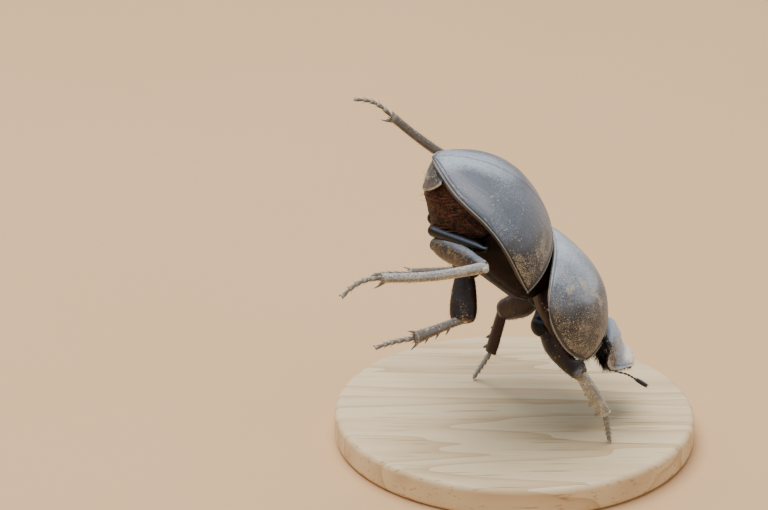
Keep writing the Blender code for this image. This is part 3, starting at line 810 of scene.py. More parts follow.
@dataclass(frozen=True)
class WingCase:
    """One wing case, with its beaded margin and the strip folded in under it."""

    side: Side
    finish: Material
    form: HindForm = HindForm()
    seam: float = 0.03  # half the air between the two
    wall: float = 0.45
    dome_share: float = 0.94  # share of v over the dome, before the folded strip
    strip: float = 0.5  # width of the folded strip
    bead: float = 0.13  # height of the bead
    stripes: int = 7  # faint grooves from the seam to the edge
    arc: float = 15.0  # way from the seam to the edge over the dome

    def over(self, v: float) -> float:
        """Share of the way from the ridge down to the edge at v."""
        return 1 - (1 - min(v / self.dome_share, 1.0)) ** 1.5

    def front_at(self, v: float) -> float:
        """X of the front margin at v, which swings forward towards the ridge."""
        return self.form.front + 0.35 * cos(pi / 2 * self.over(v)) ** 2

    def place(self, u: float, v: float) -> Vector:
        """Point of the outer face.

        Args:
            u: From rear to front.
            v: From the seam out over the dome, and round into the folded strip.

        Returns:
            The point.
        """
        form, angle, front = self.form, pi / 2 * self.over(v), self.front_at(v)
        if u < 0.5:
            x = form.widest - (form.widest - form.rear) * cos(pi * u)
        else:
            x = form.widest + (front - form.widest) * (1 - (2 - 2 * u) ** 1.3)
        point = form.shell(x, angle)
        fold = max(v - self.dome_share, 0.0) / (1 - self.dome_share)
        if fold:
            step = 0.02
            widening = form.width(x + step) - form.width(max(x - step, form.rear))
            lean = Vector((2 * step, widening, 0.0)).normalized()
            narrow = 1 - 0.7 * ease(11.5, form.front, x)
            point += Vector((lean.y * 0.6, -0.6 * abs(lean.x), -0.75)) * self.strip * narrow * fold
        point.y = self.side.value * (self.seam + max(point.y - self.seam * (1 - sin(angle)), 0.0))
        return point

    def margins(self, spot: Spot) -> Triple:
        """How far a spot lies from the margins.

        Args:
            spot: The point.

        Returns:
            Millimetres from the side margin, the front margin and the seam, with the folded strip below 0.
        """
        point, fold = spot.place, (spot.v - self.dome_share) / (1 - self.dome_share)
        arc = pi / 2 * sqrt((point.y ** 2 + max(point.z, 1.0) ** 2 + self.form.width(point.x) ** 2) / 2)
        side = (1 - self.over(spot.v)) * arc if fold <= 0 else -fold * self.strip
        return side, self.front_at(spot.v) - point.x, abs(point.y) - self.seam

    def relief(self, spot: Spot) -> float:
        """Bead and groove along the margins, faint grooves along the back, and soft dents.

        Args:
            spot: The point.

        Returns:
            Height over the surface.
        """
        side, front, seam = self.margins(spot)
        tail = 1 - ease(-2.4, 2.5, spot.place.x)
        height = self.bead * ripple(side, 0.12, 0.13) - 0.08 * ripple(side, 0.42, 0.13)
        height += tail * (0.13 * ripple(side, 0.95, 0.2) - 0.09 * ripple(side, 1.35, 0.18))
        height += 0.07 * ripple(front, 0.1, 0.11) - 0.06 * ripple(front, 0.34, 0.12)
        height += 0.03 * ripple(seam, 0.2, 0.2) - 0.03 * ripple(seam, 0.55, 0.15)
        inner = ease(1.0, 2.5, side) * ease(0.6, 1.6, front)
        stripe = self.over(spot.v) * self.stripes
        groove = abs(stripe - round(stripe)) / self.stripes * self.arc
        height -= 0.016 * ripple(groove, 0.0, 0.12) * inner
        return height + inner * (0.05 * cloud(spot.place, 3.2, 2.0) + 0.012 * cloud(spot.place, 0.7, 5.0))

    def paint(self, spot: Spot) -> Coat:
        """Painted sky reflection and top highlight, dust below, a pale bead and a reddish folded strip.

        Args:
            spot: The point.

        Returns:
            The coat there.
        """
        side, front, _ = self.margins(spot)
        bead = max(ripple(side, 0.1, 0.1), ripple(front, 0.08, 0.08) * 0.6)
        tail = 1 - ease(-2.4, 2.0, spot.place.x)
        bead = max(bead, 0.8 * tail * ripple(side, 0.95, 0.15))
        # painted highlight along the top of the ridge, where the surface faces straight up
        crest = ease(0.76, 0.98, spot.normal.z) * (1 - ease(1.5, 4.5, abs(spot.place.y)))
        border = 9.9 + 0.75 * max(spot.place.z - 2.5, 0.0) + 1.2 * cloud(spot.place, 2.5, 4.0)
        corner = ease(-1.1, 1.1, spot.place.x - border)
        # painted sky reflection, the stronger the more the surface faces up, and weaker under the front dust
        sky_reflection = 0.26 + 0.38 * sky(spot.normal, -0.3, 0.5) + 0.42 * crest
        sky_reflection *= (1 + 0.2 * cloud(spot.place, 4.5, 1.0)) * (1 - 0.75 * corner)
        dust = 0.28 + 0.75 * corner + 0.5 * cloud(spot.place, 2.6, 7.0) + 0.15 * (1 - ease(0.0, 2.4, side))
        dust *= ease(0.2, 0.9, side) * ease(0.2, 0.9, front)
        groove = ripple(side, 0.5, 0.16) * 0.5
        strip = 1.0 if side < -0.02 else 0.0
        return sky_reflection * (1 - strip), dust * (1 - strip), bead * 0.6, max(strip, groove * 0.3)

    def build(self) -> None:
        """Model and dress the wing case."""
        name = f"wing_case_{self.side.name.lower()}"
        draft = Draft()
        draft.sheet(130, 130, self.place, self.relief, wall=self.wall)
        draft.piece(name + "_shell", HIND, Slot.CASE, self.finish, (name,), self.paint)


@dataclass(frozen=True)
class HindBody:
    """Abdomen with its belly plates, tail plate, and the thorax that carries four of the legs."""

    belly: Material
    case: Material
    form: HindForm = HindForm()
    abdomen_front: float = 6.2
    tail: Triple = (-1.85, 0.0, 0.35)
    tail_way: Triple = (-0.92, 0.0, -0.4)
    tail_plate: Triple = (-1.0, 4.5, 3.3)  # X of its rim, half width and depth
    tail_top: float = 1.1
    tail_bulge: float = 1.35
    focus: Double = (11.0, 4.6)  # where the sutures of the belly plates would meet, as X and Z
    plate_angle: float = 11.5  # degrees that one plate takes, seen from there

    def tube(self, stations: Stations) -> Place:
        """Closed surface through stations of x and scale.

        Args:
            stations: Pairs of x and the share of the full ring's size there.

        Returns:
            Place function with u round the body and v along it.
        """
        def place(u: float, v: float) -> Vector:
            """Point of the tube.

            Args:
                u: Round it.
                v: From one end to the other.

            Returns:
                The point.
            """
            reach = v * (len(stations) - 1)
            low = min(int(reach), len(stations) - 2)
            share = reach - low
            x, scale = (a * (1 - share) + b * share for a, b in zip(stations[low], stations[low + 1]))
            middle = Vector((x, 0.0, 0.5))
            point = self.form.body(x, u)
            return middle + (point - middle) * scale

        return place

    def plate(self, point: Vector) -> float:
        """Share of the way across its belly plate that a point lies at."""
        return atan2(self.focus[1] - point.z, self.focus[0] - point.x) / radians(self.plate_angle) % 1.0

    def abdomen_relief(self, spot: Spot) -> float:
        """Each plate of the belly laps over the next behind it.

        Args:
            spot: The point.

        Returns:
            Height over the surface.
        """
        point, share = spot.place, self.plate(spot.place)
        step = 0.16 * (share - 0.5) - 0.14 * ripple(share, 0.02, 0.06) - 0.14 * ripple(share, 0.98, 0.06)
        below = ease(3.5, 1.5, point.z) if point.z > 1.5 else 1.0
        return step * below + 0.03 * cloud(point, 0.8, 3.0)

    def abdomen_paint(self, spot: Spot) -> Coat:
        """Near-black plates with reddish hind borders and a little dust in the sutures.

        Args:
            spot: The point.

        Returns:
            The coat there.
        """
        share = self.plate(spot.place)
        border = max(ripple(share, 0.06, 0.1), ripple(share, 1.0, 0.06))
        dust = 0.25 * cloud(spot.place, 1.6, 4.0) + 0.1 * border
        warm = 0.25 + 0.5 * ripple(share, 0.1, 0.1) + 0.5 * cloud(spot.place, 1.2, 9.0)
        warm *= 1 - 0.85 * ease(0.0, 4.0, spot.place.x)
        return 0.0, dust, border * 0.1, min(warm, 0.7)

    def thorax_relief(self, spot: Spot) -> float:
        """Shallow sutures between the plates of the breast, and coarse punctures.

        Args:
            spot: The point.

        Returns:
            Height over the surface.
        """
        point = spot.place
        line = point.z - (-3.2 + 0.25 * (point.x - 8.0))
        seam = ripple(line, 0.0, 0.12) * 0.14 + ripple(abs(point.y), 0.0, 0.14) * 0.12
        return 0.05 * cloud(point, 0.9, 6.0) - seam - 0.08 * ripple(point.x - 0.5 * abs(point.y), 8.2, 0.12)

    def thorax_paint(self, spot: Spot) -> Coat:
        """Dark breast with soil lodged along its plates, and faint painted sky reflection facing up."""
        soil, tint = cloud(spot.place, 2.0, 2.0), cloud(spot.place, 1.8, 8.0)
        return sky(spot.normal, 0.3, 1.0) * 0.12, 0.22 * soil, 0.0, 0.05 + 0.3 * tint

    def tail_place(self, u: float, v: float) -> Vector:
        """Point of the tail plate, a convex rounded triangle.

        Args:
            u: Round it.
            v: From the middle of its outer face out to the rim and back in behind.

        Returns:
            The point.
        """
        rim, half_width, depth = self.tail_plate
        share = min(2 * v, 1.0) if v <= 0.5 else 2 - 2 * v
        side, down = sin(2 * pi * u), -cos(2 * pi * u)
        power = 2 / 1.3 if down > 0 else 2 / 2.2
        across = (abs(side) ** power) * (1 if side > 0 else -1)
        fall = (abs(down) ** power) * (depth if down > 0 else -0.35)
        bulge = self.tail_bulge * (1 - share ** 2.2) if v <= 0.5 else -0.3 * (1 - share)
        slant = 0.12 * fall * share
        return Vector((rim - bulge + slant, half_width * across * share, self.tail_top - 0.35 - fall * share))

    def tail_relief(self, spot: Spot) -> float:
        """Coarse grain inside a raised rim, on the outer face.

        Args:
            spot: The point.

        Returns:
            Height over the surface.
        """
        if spot.v >= 0.5:
            return 0.0
        rim = 0.1 * ripple(spot.v, 0.46, 0.03) - 0.06 * ripple(spot.v, 0.38, 0.03)
        return rim + 0.035 * cloud(spot.place, 0.5, 1.0) + 0.03 * cloud(spot.place, 1.4, 2.0)

    def tail_paint(self, spot: Spot) -> Coat:
        """Dusty plate, paler above from painted sky reflection, with a pale rim."""
        high, dust = ease(-1.0, 0.8, spot.place.z), 0.4 + 1.1 * cloud(spot.place, 0.8, 5.0)
        return 0.1 * high, dust, 0.9 * ripple(spot.v, 0.485, 0.014), 0.3

    def build(self) -> None:
        """Model and dress the three pieces."""
        tail, way = Vector(self.tail), Vector(self.tail_way).normalized()
        first = self.form.rear + self.form.inset + 0.05
        abdomen = Draft()
        stations = [(first, 0.0), (first, 0.5), (first, 1.0)]
        stations += [(first + (self.abdomen_front - first) * (k / 9) ** 1.5, 1.0) for k in range(1, 10)]
        stations += [(self.abdomen_front, 0.5), (self.abdomen_front, 0.0)]
        abdomen.sheet(150, 130, self.tube(tuple(stations)), self.abdomen_relief)
        abdomen.cut(tail - way * 0.3, way)
        abdomen.piece("abdomen_plates", HIND, Slot.BELLY, self.belly, ("abdomen",), self.abdomen_paint)

        plate = Draft()
        plate.sheet(110, 90, self.tail_place, self.tail_relief)
        plate.piece("tail_plate", HIND, Slot.CASE, self.case, ("pygidium",), self.tail_paint)

        thorax = Draft()
        rear = self.abdomen_front + 0.3
        stations = [(rear, 0.0), (rear, 1.0), (rear + 4.0, 1.0), (rear + 8.6, 1.0), (18.5, 0.78), (18.5, 0.0)]
        thorax.sheet(110, 90, self.tube(tuple(stations)), self.thorax_relief)
        to_hind = HIND.matrix().inverted() @ FORE.matrix()
        thorax.cut(to_hind @ Vector((2.0, 0.0, 0.0)), to_hind.to_3x3().normalized() @ Vector((1.0, 0.0, 0.0)))
        thorax.piece("hind_breast", HIND, Slot.BELLY, self.belly, ("hind_thorax",), self.thorax_paint)


@dataclass(frozen=True)
class Pronotum:
    """Shield over the fore body, beaded all round."""

    finish: Material
    half_width: float = 10.6
    widest: float = 4.6
    taper: float = 11.6
    corner: float = 3.3  # how far the hind angles lie in front of the middle of the hind margin
    front: float = 13.3
    front_corner: float = 14.1
    edge: Stations = ((0.0, -3.6), (3.9, -4.0), (7.0, -4.4), (10.5, -4.3), (14.1, -3.3))
    crown: Stations = (
        (-0.4, -0.7), (0.0, -0.4), (1.6, 0.8), (5.0, 2.2), (8.5, 2.5), (11.5, 1.6), (13.3, 0.5), (15.0, -0.6),
    )
    clots: Triples = (
        (4.6, -6.0, 1.0), (7.2, -4.9, 1.7), (3.2, -7.8, 0.6), (5.4, 5.2, 1.2), (8.4, 6.8, 0.8),
    )  # places and half lengths of the thickest patches of soil
    wall: float = 0.45
    dome_share: float = 0.95  # share of the half arc over the dome, before the folded strip
    strip: float = 0.5

    def width(self, x: float, inset: float = 0.0) -> float:
        """Half width at x."""
        return (self.half_width - inset) * sqrt(1 - ((x - self.widest) / (self.taper - inset * 0.3)) ** 2)

    def split(self, u: float) -> Triple:
        """Where u lies across the shield.

        Args:
            u: From right to left.

        Returns:
            Angle from the middle, sign of the side and share of the folded strip.
        """
        across = 2 * u - 1
        sign = 1.0 if across >= 0 else -1.0
        over = 1 - (1 - min(abs(across) / self.dome_share, 1.0)) ** 1.4
        fold = max(abs(across) - self.dome_share, 0.0) / (1 - self.dome_share)
        return sign * pi / 2 * over, sign, fold

    def place(self, u: float, v: float) -> Vector:
        """Point of the outer face.

        Args:
            u: From right to left.
            v: From the hind margin to the front margin.

        Returns:
            The point.
        """
        angle, sign, fold = self.split(u)
        turn = abs(angle) / (pi / 2)
        along = 0.5 - 0.5 * cos(pi * v) * (1 - 0.25 * sin(pi * v) ** 2)
        turn, along = self.rounded(turn, along, 0.16, 0.18)
        turn, back = self.rounded(turn, 1 - along, 0.08, 0.07)
        along = 1 - back
        angle = sign * turn * pi / 2
        hind, front = self.ends(turn)
        x = hind + (front - hind) * along
        crown, edge = through(self.crown, x), through(self.edge, x)
        point = Vector((x, self.width(x) * sin(angle), edge + (crown - edge) * cos(angle)))
        return point + Vector((0.0, -sign * 0.85, -0.45)) * self.strip * fold

    def ends(self, turn: float) -> Double:
        """X of the hind and the front margin at a share of the way from the middle to the side."""
        return self.corner * turn ** 4, self.front + (self.front_corner - self.front) * turn ** 1.5

    @staticmethod
    def rounded(turn: float, along: float, reach: float, depth: float) -> Double:
        """Round the corner where the side meets a margin.

        Args:
            turn: Share of the way from the middle to the side.
            along: Share of the way from the margin.
            reach: Size of the rounding towards the middle.
            depth: Size of the rounding away from the margin.

        Returns:
            Both shares, drawn in at the corner.
        """
        across, down = (turn - 1 + reach) / reach, (depth - along) / depth
        if across <= 0 or down <= 0:
            return turn, along
        near, far = across * sqrt(1 - down ** 2 / 2), down * sqrt(1 - across ** 2 / 2)
        return 1 - reach + near * reach, depth - far * depth

    def margins(self, spot: Spot) -> Triple:
        """How far a spot lies from the margins.

        Args:
            spot: The point.

        Returns:
            Millimetres from the side, hind and front margins, with the folded strip below 0.
        """
        angle, _, fold = self.split(spot.u)
        turn, x = abs(angle) / (pi / 2), spot.place.x
        depth = through(self.crown, x) - through(self.edge, x)
        arc = pi / 2 * sqrt((self.width(x) ** 2 + depth ** 2) / 2)
        hind, front = self.ends(turn)
        return (1 - turn) * arc if not fold else -fold * self.strip, x - hind, front - x

    def relief(self, spot: Spot) -> float:
        """Bead and groove all round, a dimple on each side, and soft dents.

        Args:
            spot: The point.

        Returns:
            Height over the surface.
        """
        point = spot.place
        side, hind, front = self.margins(spot)
        height = 0.0
        for reach, tall in ((side, 0.09), (hind, 0.09), (front, 0.08)):
            height += tall * ripple(reach, 0.11, 0.12) - 0.06 * ripple(reach, 0.38, 0.12)
        inner = ease(0.8, 2.2, side) * ease(0.7, 1.8, hind) * ease(0.7, 1.8, front)
        dimple = exp(-((point.x - 6.2) / 0.9) ** 2 - ((abs(point.y) - 8.2) / 0.7) ** 2)
        height -= 0.05 * dimple * inner
        return height + inner * (0.05 * cloud(point, 3.0, 8.0) + 0.014 * cloud(point, 0.6, 3.0))

    def paint(self, spot: Spot) -> Coat:
        """Painted sky reflection and top highlight, soil clotted lower down, pale beads.

        Args:
            spot: The point.

        Returns:
            The coat there.
        """
        side, hind, front = self.margins(spot)
        bead = max(ripple(reach, 0.09, 0.09) for reach in (side, hind, front))
        border = 6.1 + 0.6 * spot.place.z + 1.3 * cloud(spot.place, 2.5, 4.0)
        lower = ease(-1.3, 1.6, spot.place.x - border)
        spread = 0.8 * cloud(spot.place, 1.1, 6.0) + 0.5 * cloud(spot.place, 0.45, 2.0)
        clot = max(1 - sqrt(((spot.place.x - x) / wide) ** 2 + ((spot.place.y - y) / 0.9) ** 2) + spread
                   for x, y, wide in self.clots)
        # painted highlight on the top of the rear part, where the surface faces up
        top = ease(0.5, 0.95, spot.normal.z) * (1 - ease(3.0, 8.0, spot.place.x))
        # painted sky reflection, stronger where the surface faces up, weaker where the soil lies lower down
        sky_reflection = 0.5 + 0.35 * sky(spot.normal, -0.4, 0.6) + 0.4 * top
        sky_reflection *= (1 + 0.35 * cloud(spot.place, 4.0, 3.0)) * (1 - 0.8 * lower)
        dust = 0.46 + 0.46 * lower + 0.5 * cloud(spot.place, 2.4, 1.0) + 0.6 * ease(11.6, 13.8, spot.place.x)
        dust += 1.2 * ease(0.0, 0.45, clot)
        dust *= ease(0.2, 0.9, side) * ease(0.2, 0.9, hind) * ease(0.2, 0.8, front)
        strip = 1.0 if side < -0.02 else 0.0
        return sky_reflection * (1 - strip), dust * (1 - 0.8 * strip), bead * 0.7, strip * 0.8

    def build(self) -> None:
        """Model and dress the shield."""
        draft = Draft()
        draft.sheet(210, 110, self.place, self.relief, wall=self.wall)
        draft.piece("pronotum_shield", FORE, Slot.CASE, self.finish, ("pronotum",), self.paint)


@dataclass(frozen=True)
class Prothorax:
    """Fore breast under the pronotum."""

    finish: Material
    shield: Pronotum
    inset: float = 1.3
    rear: float = 2.3
    length: float = 10.4
    cap: float = 0.06  # share of v that closes each end
    depth: Stations = ((1.0, -5.2), (4.0, -6.0), (8.0, -6.1), (12.0, -5.6), (15.0, -4.6))
    neck: Triple = (12.6, 0.0, -2.6)
    scales: Stations = ((0.0, 0.72), (1.4, 0.9), (3.2, 1.0), (6.0, 1.0), (8.6, 1.0), (10.4, 0.97))

    def place(self, u: float, v: float) -> Vector:
        """Point of the breast.

        Args:
            u: Round it, first over its back.
            v: From rear to front, with both ends closed.

        Returns:
            The point.
        """
        distance = self.length * min(max((v - self.cap) / (1 - 2 * self.cap), 0.0), 1.0)
        cap = min(v / self.cap, (1 - v) / self.cap, 1.0)
        x, scale = self.rear + distance, through(self.scales, distance)
        wide = self.shield.width(x, self.inset) * scale
        crown = (through(self.shield.crown, x) - self.inset) * scale
        edge = through(self.shield.edge, x)
        if u <= 0.5:
            angle = pi * (2 * u - 0.5)
            point = Vector((x, wide * sin(angle), edge + (crown - edge) * cos(angle)))
        else:
            angle = 2 * pi * (u - 0.5)
            depth = edge - through(self.depth, x) * (0.5 + 0.5 * scale)
            point = Vector((x, wide * cos(angle), edge - depth * sin(angle)))
        middle = Vector((x, 0.0, -2.0))
        return middle + (point - middle) * cap

    def relief(self, spot: Spot) -> float:
        """Coarse grain, a keel along the middle and a furrow across it."""
        keel = 0.12 * ripple(spot.place.y, 0.0, 0.5) - 0.1 * ripple(spot.place.x, 9.4, 0.2)
        return 0.05 * cloud(spot.place, 0.8, 1.0) + keel

    def paint(self, spot: Spot) -> Coat:
        """Dark, with soil lodged in its hollows and painted sky reflection facing up."""
        return sky(spot.normal, 0.0, 1.0) * 0.4, 0.3 + 0.4 * cloud(spot.place, 1.5, 6.0), 0.0, 0.2

    def build(self) -> None:
        """Model and dress the breast."""
        draft = Draft()
        draft.sheet(100, 70, self.place, self.relief)
        draft.ball(Vector(self.neck), Vector((2.6, 4.6, 1.7)), rings=24, relief=self.relief)
        draft.piece("fore_breast", FORE, Slot.BELLY, self.finish, ("prothorax",), self.paint)


@dataclass(frozen=True)
class HeadShield:
    """Shovel-shaped head: turned-up rim, two teeth in front, cheeks beside the eyes."""

    finish: Material
    widths: Stations = (
        (-2.6, 3.3), (0.6, 3.3), (1.5, 3.6), (2.1, 4.4), (2.8, 4.95), (3.8, 5.0), (4.8, 4.6), (6.0, 3.4),
        (7.1, 1.7),
    )
    crown: Stations = (
        (-2.6, -1.7), (0.6, -1.6), (1.0, 0.2), (2.0, 0.6), (3.6, 0.25), (5.1, 0.05), (6.3, 0.45), (7.1, 0.25),
    )
    thickness: Stations = (
        (-2.6, 2.4), (0.6, 2.2), (1.2, 2.5), (2.0, 1.9), (3.4, 1.6), (5.2, 1.3), (7.1, 0.8),
    )
    hollow: float = 0.6  # how far its sides lie in front of the middle, at the rear
    arch: Stations = ((0.6, 0.06), (2.0, 0.085), (3.8, 0.09), (4.8, 0.085), (6.0, 0.065), (7.1, 0.05))
    rear: float = 0.2
    front: float = 7.1
    seam: float = 3.6  # distance of the cheeks' seams from the middle

    def place(self, u: float, v: float) -> Vector:
        """Point of the head.

        Args:
            u: Round it, from the right margin over the crown and back underneath.
            v: From rear to front, with both ends closed.

        Returns:
            The point.
        """
        along = min(max((v - 0.04) / 0.92, 0.0), 1.0)
        cap = min(v / 0.04, 1.0) if v < 0.5 else sqrt(max(1 - max((v - 0.96) / 0.04, 0.0) ** 2, 0.0))
        x = self.rear + (self.front - self.rear) * along
        wide, crown = through(self.widths, x), through(self.crown, x)
        hollow = self.hollow * min(1.0, max(0.0, 1 - x / 6))
        across = -cos(2 * pi * u) if u <= 0.5 else cos(2 * pi * (u - 0.5))
        arch = through(self.arch, x)
        drop = arch * (across * wide) ** 2
        rim = crown - arch * wide ** 2 - 0.25
        if u <= 0.5:
            point = Vector((x + hollow * across ** 2, wide * across, crown - drop - 0.25 * across ** 6))
        else:
            floor = crown - through(self.thickness, x)
            low = rim - 0.3 * (1 - across ** 8) + (floor - rim) * (1 - across ** 2)
            point = Vector((x + hollow * across ** 2, wide * across * (1 - 0.03 * (1 - across ** 8)), low))
        middle = Vector((x, 0.0, crown - 0.4))
        point = middle + (point - middle) * cap
        point.x -= 0.75 * ripple(point.y, 0.0, 0.5) * ease(5.8, 7.1, x)
        return point

    def rim(self, point: Vector) -> float:
        """Distance of a point from the outer margin and the notch, seen from above, in millimetres."""
        notch = max(sqrt((point.x - self.front) ** 2 + point.y ** 2) - 0.75, 0.0)
        return min(abs(through(self.widths, point.x) - abs(point.y)) * 0.85, self.front - point.x, notch)

    def cheek(self, point: Vector) -> float:
        """Distance in millimetres outside the cheek's seam, which bends out to the margin in front."""
        return abs(point.y) - self.seam - 0.9 * ease(4.2, 5.8, point.x)

    def relief(self, spot: Spot) -> float:
        """Turned-up rim, seams that part the cheeks from the clypeus, a low cross ridge, and grain.

        Args:
            spot: The point.

        Returns:
            Height over the surface.
        """
        point = spot.place
        rim = self.rim(point)
        if spot.u > 0.5:
            return 0.03 * cloud(point, 0.5, 4.0)
        ahead = ease(0.8, 1.8, point.x)
        height = ahead * (0.1 * ripple(rim, 0.08, 0.14) - 0.06 * ripple(rim, 0.35, 0.15))
        height -= 0.07 * ripple(self.cheek(point), 0.0, 0.12) * ease(0.8, 1.6, point.x)
        height += 0.14 * ripple(point.x, 2.9 + 0.04 * point.y ** 2, 0.3) * (1 - ease(1.5, 3.2, abs(point.y)))
        return height + 0.03 * cloud(point, 0.35, 1.0) + 0.05 * cloud(point, 1.2, 2.0)

    def paint(self, spot: Spot) -> Coat:
        """Strong painted sky reflection, cream rim, soil along the seams.

        Args:
            spot: The point.

        Returns:
            The coat there.
        """
        rim = self.rim(spot.place)
        # the underside gets almost no painted sky reflection
        if spot.u > 0.5:
            return 0.05, 0.3 * cloud(spot.place, 1.0, 2.0), 0.0, 0.1
        cheek = ease(-0.1, 0.35, self.cheek(spot.place)) * ease(1.2, 2.0, spot.place.x)
        # painted sky reflection, stronger where the surface faces up, weaker on the cheeks
        sky_reflection = sky(spot.normal, -0.6, 0.6) * (1 + 0.4 * cloud(spot.place, 2.5, 3.0)) * (1 - 0.75 * cheek)
        lobe = ease(4.1, 5.6, spot.place.x) * (1 - ease(1.6, 3.4, abs(spot.place.y)))
        edge = 0.45 * ripple(rim, 0.04, 0.12) + 0.95 * lobe
        dust = 0.15 + 0.5 * cloud(spot.place, 1.1, 5.0) + 0.3 * ripple(rim, 0.4, 0.3) + 0.5 * cheek
        return sky_reflection, dust, min(edge, 0.95), 0.05 + 0.5 * cheek

    def build(self) -> None:
        """Model and dress the head."""
        draft = Draft()
        draft.sheet(200, 110, self.place, self.relief)
        draft.piece("head_shield", HEAD, Slot.CASE, self.finish, ("head",), self.paint)


@dataclass(frozen=True)
class Eye:
    """Compound eye at the side of the head."""

    side: Side
    finish: Material
    place: Triple = (1.6, 4.1, -1.05)  # of the left one
    size: Triple = (0.8, 0.55, 0.5)

    def build(self) -> None:
        """Model and dress the eye."""
        name = f"eye_{self.side.name.lower()}"
        x, y, z = self.place
        draft = Draft()
        draft.ball(Vector((x, y * self.side.value, z)), Vector(self.size), rings=28)
        draft.piece(name + "_lens", HEAD, Slot.EYE, self.finish, (name,))


@dataclass(frozen=True)
class Mouth:
    """Lower lip, jaws and small feelers of the mouth, under the head."""

    finish: Material
    middle: Triple = (3.4, 0.0, -2.8)
    joints: Triples = (
        (-0.1, 1.7, -0.3), (0.3, 1.9, -0.45), (0.7, 1.8, -0.42), (1.0, 1.5, -0.35),
    )  # of the left small feeler, from the middle

    def relief(self, spot: Spot) -> float:
        """A groove along the middle and one across."""
        grooves = 0.12 * ripple(spot.place.y, 0.0, 0.15) + 0.1 * ripple(spot.place.x, 3.3, 0.12)
        return 0.03 * cloud(spot.place, 0.4, 2.0) - grooves

    def paint(self, spot: Spot) -> Coat:
        """Brown, a little dusty."""
        return 0.05, 0.05 + 0.3 * cloud(spot.place, 0.8, 1.0), 0.0, 0.2

    def build(self) -> None:
        """Model and dress the mouth."""
        middle = Vector(self.middle)
        draft = Draft()
        draft.ball(middle + Vector((-0.1, 0.0, -0.1)), Vector((1.2, 1.3, 0.5)), rings=24, relief=self.relief)
        for side in (-1, 1):
            jaw = middle + Vector((0.1, side * 1.5, 0.05))
            draft.ball(jaw, Vector((1.2, 0.85, 0.55)), rings=16, relief=self.relief)
            for x, y, z in self.joints:
                draft.ball(middle + Vector((x, y * side, z)), Vector((0.3, 0.15, 0.14)), rings=8)
        draft.piece("mouth_lip_and_feelers", HEAD, Slot.BELLY, self.finish, ("mouthparts",), self.paint)


@dataclass(frozen=True)
class Antenna:
    """Jointed feeler that ends in a club of three leaves."""

    name: str
    finish: Material
    points: Triples
    radius: float = 0.2
    club: float = 0.399  # half width of the leaves

    def path(self, reach: float) -> Vector:
        """Point of the feeler.

        Args:
            reach: Share of the way from its foot to its tip.

        Returns:
            The point.
        """
        places = [Vector(point) for point in self.points]
        along = min(reach, 0.9999) * (len(places) - 1)
        low = int(along)
        return places[low].lerp(places[low + 1], along - low)

    def stretch(self, low: float, high: float) -> tuple[Vector, float, Matrix]:
        """Middle, length and turn from X of the feeler between two shares of its way."""
        start, end = self.path(low), self.path(high)
        return start.lerp(end, 0.5), (end - start).length, (end - start).to_track_quat("X", "Z").to_matrix()

    def paint(self, spot: Spot) -> Coat:
        """Dark brown stalk, greyer velvety leaves."""
        leaf = 1.0 if spot.kind == Part.LEAF.value else 0.0
        return 0.15 + 0.3 * leaf, 0.15 + 0.25 * leaf, 0.0, 0.5 * (1 - leaf)

    def build(self) -> None:
        """Model and dress the feeler."""
        draft, ends = Draft(), (0.0, 0.30, 0.40, 0.49, 0.57, 0.64, 0.70)
        for low, high in zip(ends, ends[1:]):
            middle, length, turn = self.stretch(low, high)
            thick = self.radius * (0.72 if low else 0.85)
            draft.ball(middle, Vector((length * 0.54, thick, thick)), turn, rings=10)
        middle, length, turn = self.stretch(0.68, 1.0)
        for leaf in (-1, 0, 1):
            shift = turn @ Vector((0.05 * abs(leaf), 0.0, 0.17 * leaf))
            draft.ball(middle + shift, Vector((length * 0.5, self.club, 0.1)), turn, Part.LEAF, rings=14)
        draft.piece(self.name + "_joints", UPRIGHT, Slot.LEG, self.finish, (self.name,), self.paint)


# --- Legs ---


